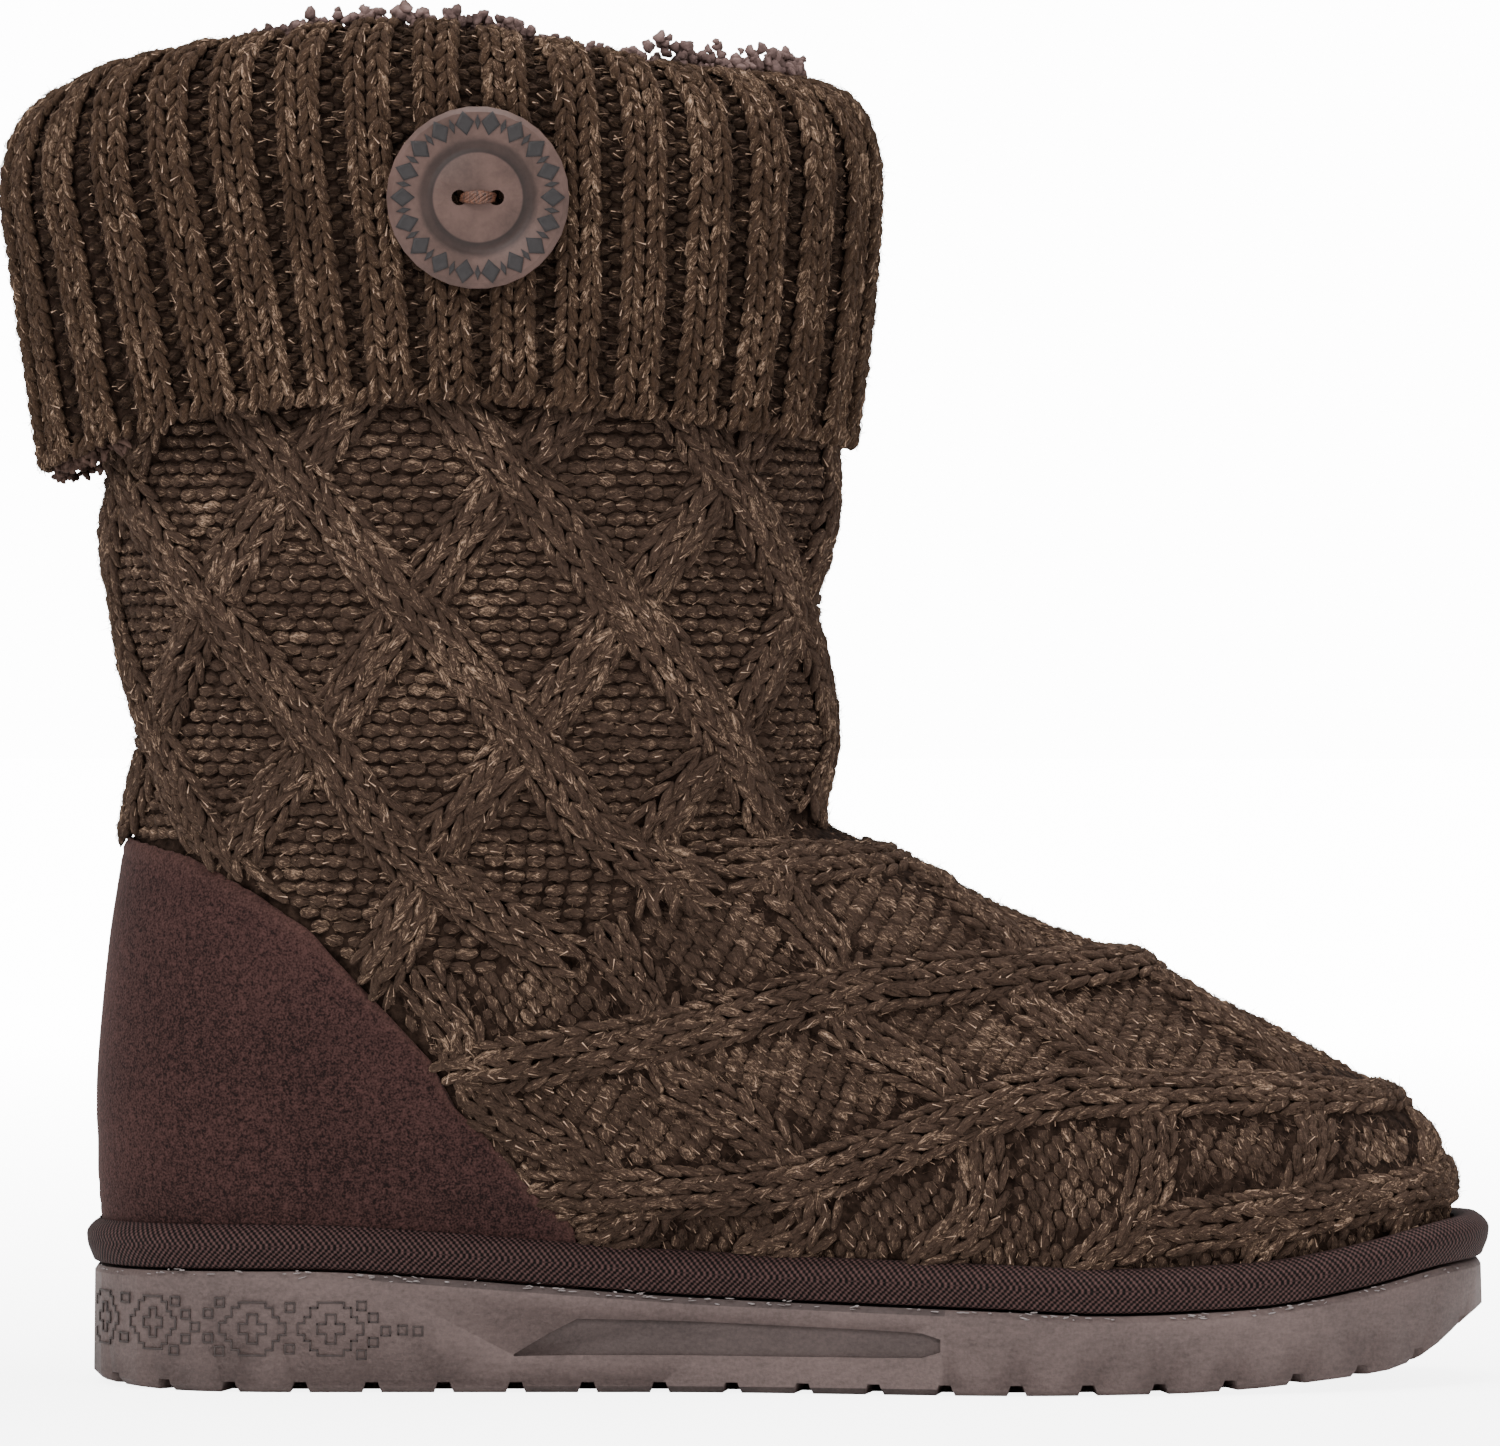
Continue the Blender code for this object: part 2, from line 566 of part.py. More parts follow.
def build_insole(grid, normals):
    """The footbed, laid on the sole inside the wall."""
    base = grid[0] - normals[0] * (KNIT_WALL + 2 * GAP)
    top = grid[0] - normals[0] * (KNIT_WALL + 3 * GAP)
    base[:, 2] = sole_height(SOLE_TOP, base[:, 0]) + SEAT_GAP
    top[:, 2] = sole_height(SOLE_TOP, top[:, 0]) + SEAT_GAP + FOOTBED
    bm = bmesh.new()
    low, high = add_ring(bm, base), add_ring(bm, top)
    bridge(bm, low, high)
    ladder(bm, low)
    ladder(bm, high)
    return new_object("insole", bm)


def cuff_ring(row, offset=0.0, inside=False):
    """One ring of the cuff, with its ribs where its outside is ribbed."""
    width = row["width"]
    section = (row["back"], row["front"], *[row["z_" + n] for n in ("0", "25", "50", "75", "100")],
               width, width, width, width, width, CUFF_CAPS, CUFF_CAPS,
               CUFF_ROUNDNESS, CUFF_ROUNDNESS, 0.0)
    ring = section_ring(section, 3 * RIB_COUNT)
    out = outline_normals(ring)
    if row["ribbed"] and not inside:
        groove = (np.arange(len(ring)) % 3 == 0)[:, None]
        return ring - out * RIB_RISE * groove
    return ring - out * offset


def build_cuff():
    """The knit folded outwards over the collar: an outer leg with ribs, a roll, an inner leg."""
    rows = {name: dict(zip(CUFF_COLUMNS, row)) for name, row in CUFF_SECTIONS.items()}
    bm = bmesh.new()
    outside = []
    for row in rows.values():
        ring = cuff_ring(row)
        outside.append(add_ring(bm, ring if row["ribbed"] else ring[::2]))
    fine = sum(row["ribbed"] for row in rows.values())
    for low, high in zip(outside[:fine], outside[1:fine]):
        bridge(bm, low, high)
    bridge_half(bm, outside[fine - 1], outside[fine])
    for low, high in zip(outside[fine:], outside[fine + 1:]):
        bridge(bm, low, high)
    inside = []
    for name, inward, down in CUFF_INSIDE:
        extra = RIB_RISE if rows[name]["ribbed"] else 0
        ring = cuff_ring(rows[name], inward * (CUFF_WALL + extra), inside=True)[::2]
        ring[:, 2] += down * CUFF_WALL
        inside.append(add_ring(bm, ring))
    for low, high in zip(inside, inside[1:]):
        bridge(bm, low, high)
    bridge(bm, outside[-1], inside[0])
    bridge_half(bm, outside[0], inside[-1])
    return new_object("cuff", bm, sharp=30)


def button_place():
    """The middle of the button's back, just clear of the cuff's outer side."""
    row = dict(zip(CUFF_COLUMNS, CUFF_SECTIONS["leg_high"]))
    return along(BUTTON_AT[0]), -(row["width"] * BALL_WIDTH + GAP), BUTTON_AT[1] * BOOT_HEIGHT


def build_button():
    """A turned disc with a flat rim, a ring recess and two holes, facing the outer side."""
    x, y, z = button_place()
    bm = bmesh.new()
    profile = [bm.verts.new((share * BUTTON_RADIUS, -height, 0)) for share, height in BUTTON_PROFILE]
    edges = [bm.edges.new(pair) for pair in zip(profile, profile[1:])]
    bmesh.ops.spin(bm, geom=profile + edges, cent=(0, 0, 0), axis=(0, 1, 0), dvec=(0, 0, 0),
                   angle=2 * math.pi, steps=BUTTON_FACES, use_merge=True)
    bmesh.ops.remove_doubles(bm, verts=bm.verts, dist=1e-4)
    bmesh.ops.translate(bm, vec=(x, y, z), verts=bm.verts)
    button = new_object("button", bm, sharp=25)
    for side in (-1, 1):
        bm = bmesh.new()
        turn = Matrix.Rotation(math.pi / 2, 4, "X")
        bmesh.ops.create_cone(bm, cap_ends=True, segments=16, radius1=BUTTON_HOLE_RADIUS,
                              radius2=BUTTON_HOLE_RADIUS, depth=3 * BUTTON_THICKNESS, matrix=turn)
        bmesh.ops.translate(bm, vec=(x + side * BUTTON_HOLE_SPACING / 2, y, z), verts=bm.verts)
        cut(button, new_object(f"button_hole_{(side + 3) // 2}", bm, cutter=True))
    return button


def build_thread():
    """The thread up through one hole, across the button and down through the other."""
    x, y, z = button_place()
    half = BUTTON_HOLE_SPACING / 2
    face = BUTTON_PROFILE[-1][1]
    front = y - face - GAP - THREAD_RADIUS
    throat = y - face + THREAD_BOW
    route = [(-half, y - GAP), (-half, throat)]
    for step in range(THREAD_STEPS + 1):
        angle = math.pi * step / THREAD_STEPS
        route.append((-half * math.cos(angle), front - THREAD_BOW * math.sin(angle)))
    route += [(half, throat), (half, y - GAP)]
    curve = bpy.data.curves.new("button_thread", "CURVE")
    curve.dimensions = "3D"
    curve.bevel_depth = THREAD_RADIUS * MM
    curve.bevel_resolution = 2
    curve.use_fill_caps = True
    spline = curve.splines.new("POLY")
    spline.points.add(len(route) - 1)
    for point, (dx, py) in zip(spline.points, route):
        point.co = ((x + dx) * MM, py * MM, z * MM, 1)
    curve.materials.append(new_material("button_thread"))
    thread = bpy.data.objects.new("button_thread", curve)
    bpy.context.scene.collection.objects.link(thread)
    return thread


def main():
    for obj in list(bpy.data.objects):
        bpy.data.objects.remove(obj, do_unlink=True)
    grid, normals, foot = upper_grid()
    build_outsole()
    build_binding(grid, normals)
    build_insole(grid, normals)
    build_upper(grid, normals, foot)
    build_counter(grid, normals, foot)
    build_cuff()
    build_button()
    build_thread()


if __name__ == "__main__":
    main()
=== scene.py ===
"""Dresses the knitted sweater boot: its yarn, suede, tape, moulded sole, button and fleece.

Working sizes are millimetres in the shared frame: the toe points to +X, the outer side of the foot
to -Y, and the origin is on the ground under the heel. A mesh is scaled to metres when it is made.
"""

import logging
import math
from collections.abc import Callable, Iterable, Sequence
from dataclasses import dataclass, field
from enum import Enum

import bmesh
import bpy
import numpy as np
from mathutils import Matrix, Vector


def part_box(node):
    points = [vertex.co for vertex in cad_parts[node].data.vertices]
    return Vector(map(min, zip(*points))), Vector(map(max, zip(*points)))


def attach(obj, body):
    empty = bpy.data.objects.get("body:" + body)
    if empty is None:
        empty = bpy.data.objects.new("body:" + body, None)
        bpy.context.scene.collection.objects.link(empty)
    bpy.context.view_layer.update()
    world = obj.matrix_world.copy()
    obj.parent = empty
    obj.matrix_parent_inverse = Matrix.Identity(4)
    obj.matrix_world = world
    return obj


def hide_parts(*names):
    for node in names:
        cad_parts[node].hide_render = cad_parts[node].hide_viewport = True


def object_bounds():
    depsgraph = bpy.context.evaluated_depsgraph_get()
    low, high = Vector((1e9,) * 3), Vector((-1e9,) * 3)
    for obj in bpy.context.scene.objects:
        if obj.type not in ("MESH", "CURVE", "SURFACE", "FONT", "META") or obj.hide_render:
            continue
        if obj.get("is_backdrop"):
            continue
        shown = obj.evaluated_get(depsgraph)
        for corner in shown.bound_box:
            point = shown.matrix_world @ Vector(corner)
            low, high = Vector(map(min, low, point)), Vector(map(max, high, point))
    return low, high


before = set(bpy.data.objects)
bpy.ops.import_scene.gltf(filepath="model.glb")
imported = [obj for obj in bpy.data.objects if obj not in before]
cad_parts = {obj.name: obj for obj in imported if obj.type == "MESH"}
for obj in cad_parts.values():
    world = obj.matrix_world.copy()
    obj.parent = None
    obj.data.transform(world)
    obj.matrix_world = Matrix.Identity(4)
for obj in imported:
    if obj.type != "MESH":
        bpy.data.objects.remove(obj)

LOG = logging.getLogger("boot")
MM = 0.001
Array = np.ndarray
Colour = tuple[float, float, float]

SECTION_COLUMNS = ("back", "front", "z_0", "z_25", "z_50", "z_75", "z_100", "heel", "waist_out",
                   "waist_in", "ball_out", "ball_in", "cap_back", "cap_front", "round_back",
                   "round_front", "sweep")
SECTIONS = {
    "feather": (.015, .976, .090, .084, .069, .060, .091,
                .321, .321, .276, .454, .454, .155, .340, 2.25, 2.30, .061),
    "roll": (.013, .978, .121, .114, .098, .089, .129,
             .332, .337, .296, .464, .459, .155, .340, 2.25, 2.30, .061),
    "toe_rope": (.012, .978, .129, .123, .112, .120, .150,
                 .337, .347, .316, .469, .464, .155, .340, 2.25, 2.30, .061),
    "toe_field": (.012, .975, .133, .128, .122, .155, .169,
                  .339, .355, .327, .464, .459, .155, .350, 2.25, 2.25, .056),
    "ball_rope_low": (.011, .962, .139, .134, .134, .192, .190,
                      .342, .362, .337, .449, .449, .160, .380, 2.25, 2.20, .051),
    "ball_rope": (.011, .936, .146, .143, .152, .218, .213,
                  .345, .372, .347, .434, .434, .165, .420, 2.25, 2.10, .046),
    "ball_rope_high": (.010, .905, .158, .158, .175, .236, .233,
                       .347, .380, .359, .420, .421, .170, .460, 2.25, 2.05, .041),
    "vamp_field": (.010, .844, .179, .185, .210, .256, .264,
                   .353, .390, .376, .410, .411, .180, .500, 2.25, 2.05, .031),
    "vamp_rope_low": (.009, .782, .199, .208, .235, .279, .294,
                      .357, .398, .388, .406, .406, .190, .530, 2.25, 2.00, .022),
    "vamp_rope": (.009, .751, .218, .229, .256, .298, .309,
                  .360, .404, .396, .406, .406, .200, .550, 2.25, 2.00, .018),
    "vamp_rope_high": (.010, .720, .240, .251, .277, .316, .323,
                       .364, .410, .404, .408, .408, .210, .560, 2.25, 2.00, .014),
    "instep_field": (.014, .662, .289, .295, .315, .344, .347,
                     .376, .424, .420, .416, .416, .260, .570, 2.20, 2.00, .008),
    "instep_rope_low": (.019, .609, .336, .339, .350, .369, .373,
                        .394, .439, .437, .424, .424, .310, .570, 2.20, 2.00, .004),
    "instep_rope": (.023, .576, .363, .365, .374, .386, .388,
                    .406, .449, .449, .435, .435, .360, .560, 2.15, 2.00, .002),
    "crease": (.028, .527, .395, .395, .400, .408, .409,
               .420, .461, .461, .443, .443, .420, .530, 2.10, 2.05, 0.0),
    "ankle": (.031, .519, .433, .433, .433, .433, .433,
              .441, .476, .476, .455, .455, .470, .500, 2.10, 2.10, 0.0),
    "shin_1": (.033, .524, .481, .481, .481, .481, .481,
               .464, .488, .488, .473, .473, .500, .500, 2.10, 2.10, 0.0),
    "shin_2": (.029, .521, .529, .529, .529, .529, .529,
               .482, .496, .496, .488, .488, .500, .500, 2.10, 2.10, 0.0),
    "shin_3": (.023, .520, .577, .577, .577, .577, .577,
               .496, .502, .502, .498, .498, .500, .500, 2.10, 2.10, 0.0),
    "calf_1": (.014, .524, .625, .625, .625, .625, .625,
               .506, .508, .508, .506, .506, .500, .500, 2.10, 2.10, 0.0),
    "calf_2": (.011, .525, .674, .674, .674, .674, .674,
               .514, .514, .514, .514, .514, .500, .500, 2.10, 2.10, 0.0),
    "cuff_hem": (.010, .524, .722, .722, .722, .722, .722,
                 .520, .520, .520, .520, .520, .500, .500, 2.10, 2.10, 0.0),
    "calf_3": (.007, .521, .792, .792, .792, .792, .792,
               .527, .527, .527, .527, .527, .500, .500, 2.10, 2.10, 0.0),
    "calf_4": (.001, .517, .875, .875, .875, .875, .875,
               .529, .529, .529, .529, .529, .500, .500, 2.10, 2.10, 0.0),
    "collar": (-.001, .510, .949, .962, .969, .963, .956,
               .524, .524, .524, .524, .524, .500, .500, 2.10, 2.10, 0.0),
}
# The outline of the sole, in the same columns. Its heights come from SOLE_TOP.
SOLE_SECTION = (0.0, 1.0, 0.0, 0.0, 0.0, 0.0, 0.0,
                .368, .374, .326, .503, .500, .155, .340, 2.25, 2.30, .061)

# The cuff's profile from the hem, up the outside, over the fold and down inside the collar.
CUFF_COLUMNS = ("back", "front", "z_0", "z_25", "z_50", "z_75", "z_100", "width", "ribbed")
CUFF_SECTIONS = {
    "hem": (-.037, .547, .683, .723, .730, .719, .700, .590, True),
    "leg_mid": (-.053, .560, .798, .817, .823, .815, .806, .620, True),
    "leg_high": (-.064, .565, .891, .904, .909, .902, .894, .633, True),
    "shoulder": (-.056, .558, .940, .953, .958, .953, .945, .616, True),
    "roll_out": (-.036, .540, .970, .983, .989, .983, .976, .576, True),
    "roll_top": (-.013, .519, .980, .993, 1.00, .994, .986, .520, False),
    "roll_in": (.013, .494, .970, .983, .990, .984, .977, .467, False),
    "inner_leg": (.029, .481, .943, .957, .964, .957, .950, .445, False),
    "inner_hem": (.032, .478, .902, .915, .922, .915, .909, .441, False),
}

# Heights of the sole's top and underside along its length, as shares of the heel's thickness.
SOLE_TOP = ((0.0, .985), (.15, 1.0), (.262, .93), (.436, .78), (.65, .69), (.724, .655),
            (.833, .70), (.905, .83), (.975, 1.0), (1.0, 1.02))
# The recess in each side of the sole: share of the length, and its lower and upper heights.
SOLE_RECESS = ((.305, 7.1, 7.5), (.330, 7.2, 11.6), (.350, 7.3, 14.4), (.42, 7.3, 14.0),
               (.49, 7.2, 13.3), (.56, 7.2, 12.6), (.593, 7.3, 12.1), (.606, 8.4, 10.9))

# The counter's edge seen from the side: share of the length, share of the boot's height.
COUNTER_END = .280
COUNTER_EDGE = ((-.10, .415), (.025, .406), (.077, .393), (.118, .370), (.162, .340), (.189, .309),
                (.219, .277), (.249, .242), (.268, .206), (.276, .170), (COUNTER_END, .143),
                (COUNTER_END, .020), (-.10, .020))
# The seam between the vamp and the shaft: X along the boot and height.
VAMP_SEAM = ((-45.0, 79.0), (22.0, 80.0), (35.0, 81.5), (57.0, 86.5), (69.0, 93.0), (85.0, 97.5),
             (97.0, 101.5), (105.0, 106.0), (110.0, 111.0))


def smooth_through(known_x: Sequence[float], known_y: Array, x: Array) -> Array:
    """A smooth curve through the given points that doesn't overshoot them.

    Args:
        known_x: Rising places of the known points.
        known_y: Their values, one row for each place.
        x: Places to read the curve at.

    Returns:
        The values at x, one row for each place.
    """
    known_x, known_y = np.asarray(known_x, float), np.asarray(known_y, float)
    step = np.diff(known_x)
    slope = np.diff(known_y, axis=0) / step.reshape((-1,) + (1,) * (known_y.ndim - 1))
    tangent = np.zeros_like(known_y)
    product = slope[:-1] * slope[1:]
    total = slope[:-1] + slope[1:]
    tangent[1:-1] = np.where(product > 0, 2 * product / np.where(total == 0, 1, total), 0)
    tangent[0], tangent[-1] = slope[0], slope[-1]
    x = np.clip(np.asarray(x, float), known_x[0], known_x[-1])
    cell = np.clip(np.searchsorted(known_x, x, side="right") - 1, 0, len(step) - 1)
    shape = x.shape + (1,) * (known_y.ndim - 1)
    width = step[cell].reshape(shape)
    t = ((x - known_x[cell]) / step[cell]).reshape(shape)
    return ((1 + 2 * t) * (1 - t) ** 2 * known_y[cell] + t * (1 - t) ** 2 * width * tangent[cell]
            + t * t * (3 - 2 * t) * known_y[cell + 1] + t * t * (t - 1) * width * tangent[cell + 1])


def end_cap(distance: Array, length: float, roundness: float) -> Array:
    """How far a rounded end has opened, from 0 at its tip to 1 where it meets the side.

    Args:
        distance: How far each place is from the tip, as a share of the section.
        length: The share of the section that the end takes.
        roundness: 2 for an ellipse, more for a squarer end.

    Returns:
        The share of the full width at each place.
    """
    inside = np.clip(1 - distance / length, 0, 1)
    return (1 - inside ** roundness) ** (1 / roundness)


def unit(vectors: Array) -> Array:
    """The same directions at a length of one."""
    return vectors / np.maximum(np.linalg.norm(vectors, axis=-1, keepdims=True), 1e-9)


def inside_outline(x: Array, z: Array, outline: Sequence[tuple[float, float]]) -> Array:
    """Which points lie inside a closed outline seen from the side.

    Args:
        x: Places along the boot.
        z: Heights.
        outline: The corners of the outline in order.

    Returns:
        True for each point inside.
    """
    inside = np.zeros(np.shape(x), bool)
    for (x0, z0), (x1, z1) in zip(outline, list(outline[1:]) + [outline[0]]):
        if z0 != z1:
            crosses = (z0 > z) != (z1 > z)
            inside ^= crosses & (x < (x1 - x0) * (z - z0) / (z1 - z0) + x0)
    return inside


def read_between(values: Array, row: Array, column: Array) -> Array:
    """Values between those of a table that is closed round its columns.

    Args:
        values: The table, one value or one row of values for each place.
        row: Rows to read.
        column: Columns to read.

    Returns:
        The value at each place.
    """
    row, column = np.broadcast_arrays(np.asarray(row, float), np.asarray(column, float))
    last, count = len(values) - 1, values.shape[1]
    row = np.clip(row, 0, last - 1e-6)
    column = column % count
    i, j = row.astype(int), column.astype(int) % count
    shape = row.shape + (1,) * (values.ndim - 2)
    u, v = (row - i).reshape(shape), (column - np.floor(column)).reshape(shape)
    j2 = (j + 1) % count
    low = values[i, j] * (1 - v) + values[i, j2] * v
    high = values[i + 1, j] * (1 - v) + values[i + 1, j2] * v
    return low * (1 - u) + high * u


@dataclass
class Surface:
    """A sheet of points, closed round its columns, that is read at any row and column.

    Rows and columns are counted in the form's own steps, with several points to each step.
    """

    points: Array
    per_row: float
    per_column: float
    normals: Array = field(init=False)

    def __post_init__(self) -> None:
        """Works out the outward direction of each point."""
        around = np.roll(self.points, -1, axis=1) - np.roll(self.points, 1, axis=1)
        self.normals = unit(np.cross(around, np.gradient(self.points, axis=0)))

    def read(self, values: Array, row: Array, column: Array) -> Array:
        """Values of a field of this sheet at any rows and columns."""
        return read_between(values, np.asarray(row, float) * self.per_row,
                            np.asarray(column, float) * self.per_column)

    def at(self, row: Array, column: Array, lift: Array | float = 0.0) -> tuple[Array, Array]:
        """Points on or off the sheet, and its outward directions there.

        Args:
            row: Rows to read.
            column: Columns to read.
            lift: How far the points stand off the sheet.

        Returns:
            The points and the outward directions.
        """
        normal = unit(self.read(self.normals, row, column))
        lift = np.asarray(lift, float)
        if lift.ndim:
            lift = lift[..., None]
        return self.read(self.points, row, column) + normal * lift, normal

    def grid(self, rows: Array, columns: Array, lift: Array | float = 0.0) -> Array:
        """Points at every crossing of the given rows and columns."""
        row, column = np.meshgrid(rows, columns, indexing="ij")
        return self.at(row, column, lift)[0]


@dataclass
class BootForm:
    """The closed form that the knit, the counter, the tape and the lining all follow."""

    sole_length: float = 275.0
    boot_height: float = 265.0
    ball_width: float = 98.0
    heel_overhang: float = 35.0
    sole_heel: float = 23.5
    seat_gap: float = 0.45
    gap: float = 0.3
    knit_wall: float = 2.4
    binding_height: float = 8.2
    crowding: float = 20.0
    columns: int = 72
    diamond_columns: int = 8
    diamond_height: float = 51.0
    lattice_base: float = 102.0
    lattice_rows: int = 14
    instep_row: int = 13
    rib_count: int = 34
    rib_rise: float = 1.7
    fine: int = 8
    wall: Surface = field(init=False)
    cuff: Surface = field(init=False)

    rim_drop: tuple[tuple[float, float], ...] = (
        (-50, 5.0), (-38, 4.6), (-31, 2.4), (-23, 1.7), (-10, .6), (5, 0), (20, -.8), (35, -.4),
        (45, .8), (54, 2.3), (62, 2.8), (70, 4.2), (80, 5.6), (110, 5.6), (125, 3.0))

    def __post_init__(self) -> None:
        """Lays the wall and the cuff."""
        self.wall = self._lay_wall()
        self.cuff = self._settled(self._lay_cuff())

    def _settled(self, cuff: Surface) -> Surface:
        """The cuff with its fold sunk where the photographed knit lies lower.

        Args:
            cuff: The cuff before it settles.

        Returns:
            The settled cuff.
        """
        places, drops = zip(*self.rim_drop)
        points = cuff.points.copy()
        drop = np.interp(points[..., 0], places, drops)
        points[..., 2] -= drop * np.clip((points[..., 2] - 222) / 34, 0, 1)
        return Surface(points, self.fine, self.fine)

    def along(self, share: Array | float) -> Array | float:
        """The X of a share of the sole's length from its back."""
        return share * self.sole_length - self.heel_overhang

    def sole_height(self, table: Sequence[tuple[float, float]], x: Array) -> Array:
        """Heights of the sole's top or underside at the given X."""
        shares, heights = zip(*table)
        share = (np.asarray(x) + self.heel_overhang) / self.sole_length
        return self.sole_heel * smooth_through(shares, np.array(heights), share)

    def ring(self, section: Sequence[float], count: int, crowding: float = 0.0) -> Array:
        """Points around one section, from the middle of the back by the outer side to the front.

        Args:
            section: A row of the table of sections.
            count: How many points.
            crowding: How much closer they stand where the outline turns.

        Returns:
            The points.
        """
        row = dict(zip(SECTION_COLUMNS, section))
        u = (1 - np.cos(np.linspace(0, math.pi, 1601))) / 2
        x = self.along(row["back"] + (row["front"] - row["back"]) * u)
        opening = end_cap(u, row["cap_back"], row["round_back"])
        opening = opening * end_cap(1 - u, row["cap_front"], row["round_front"])
        sweep = row["sweep"] * self.ball_width * u ** 2
        sides = []
        for side, sign in (("out", -1), ("in", 1)):
            widths = np.array((row["heel"], row["heel"], row["waist_" + side],
                               row["ball_" + side], row["ball_" + side]))
            wide = smooth_through((0, .14, .40, .70, 1), widths, u)
            y = sweep + sign * self.ball_width * wide * opening
            length = np.hypot(np.diff(x), np.diff(y))
            heading = np.unwrap(np.arctan2(np.diff(y), np.diff(x)))
            turn = np.abs(np.diff(heading, prepend=heading[0]))
            share = np.concatenate([[0], np.cumsum(length + crowding * turn)])
            places = np.interp(np.linspace(0, share[-1], count // 2 + 1), share, u)
            sides.append(np.stack([np.interp(places, u, x), np.interp(places, u, y), places], axis=1))
        ring = np.concatenate([sides[0], sides[1][-2:0:-1]])
        heights = [row["z_" + name] * self.boot_height for name in ("0", "25", "50", "75", "100")]
        ring[:, 2] = smooth_through((0, .25, .5, .75, 1), np.array(heights), ring[:, 2])
        return ring

    def _lay_wall(self) -> Surface:
        """The outside of the knitted wall, from the feather edge to the collar."""
        table = np.array(list(SECTIONS.values()))
        names = list(SECTIONS)
        middle = table[:, SECTION_COLUMNS.index("z_50")] * self.boot_height
        foot = self.instep_row + 1
        step = self.diamond_height / self.diamond_columns
        shaft = self.lattice_base + step * np.arange(1, self.lattice_rows + 1)
        above = middle[names.index("calf_3"):]
        heights = np.concatenate([middle[:foot], shaft, above])
        rows = smooth_through(middle, table, heights)
        crowding = np.interp(np.arange(len(rows)), (0, foot), (self.crowding, 0))
        rings = np.array([self.ring(row, self.columns * self.fine, crowd)
                          for row, crowd in zip(rows, crowding)])
        rings[0, :, 2] = self.sole_height(SOLE_TOP, rings[0, :, 0]) + self.seat_gap
        rings[1, :, 2] = rings[0, :, 2] + self.binding_height + self.gap
        stops = np.arange(0, len(rows) - 1 + .5 / self.fine, 1 / self.fine)
        return Surface(smooth_through(np.arange(len(rows)), rings, stops), self.fine, self.fine)

    def _lay_cuff(self) -> Surface:
        """The outside of the folded cuff without its ribs, from its hem over to its inner hem."""
        rings = []
        for values in CUFF_SECTIONS.values():
            row = dict(zip(CUFF_COLUMNS, values))
            width = row["width"]
            section = (row["back"], row["front"],
                       *[row["z_" + name] for name in ("0", "25", "50", "75", "100")],
                       width, width, width, width, width, .5, .5, 2.15, 2.15, 0.0)
            rings.append(self.ring(section, 3 * self.rib_count * self.fine))
        stops = np.arange(0, len(rings) - 1 + .5 / self.fine, 1 / self.fine)
        points = smooth_through(np.arange(len(rings)), np.array(rings), stops)
        return Surface(points, self.fine, self.fine)

    def row_at_height(self, height: Array, column: Array) -> Array:
        """The wall's rows at given heights, above the vamp's seam.

        Args:
            height: Heights over the ground.
            column: The column of each.

        Returns:
            The rows.
        """
        first = 10 * self.fine
        levels = np.arange(60.0, 258.0)
        rows = np.arange(first, len(self.wall.points)) / self.fine
        table = np.array([np.interp(levels, self.wall.points[first:, j, 2], rows)
                          for j in range(self.wall.points.shape[1])]).T
        return read_between(table, np.asarray(height) - levels[0],
                            np.asarray(column) * self.wall.per_column)

    def counter_edge(self, grown: float = 0.0) -> list[tuple[float, float]]:
        """The counter's outline seen from the side, made larger by a margin."""
        return [(self.along(x) + grown, z * self.boot_height + grown) for x, z in COUNTER_EDGE]

    def under_counter(self, points: Array, margin: float) -> Array:
        """Which points the counter covers, with a margin round it, or within it where negative."""
        covered = [inside_outline(points[..., 0] + dx, points[..., 2] + dz, self.counter_edge())
                   for dx in (-margin, 0, margin) for dz in (-margin, 0, margin)]
        return np.any(covered, axis=0) if margin >= 0 else np.all(covered, axis=0)

    def seam_height(self, column: Array) -> Array:
        """How high the seam between the vamp and the shaft runs at each column."""
        x = self.wall.at(12.5, column)[0][..., 0]
        places, heights = zip(*VAMP_SEAM)
        return smooth_through(places, np.array(heights), x)


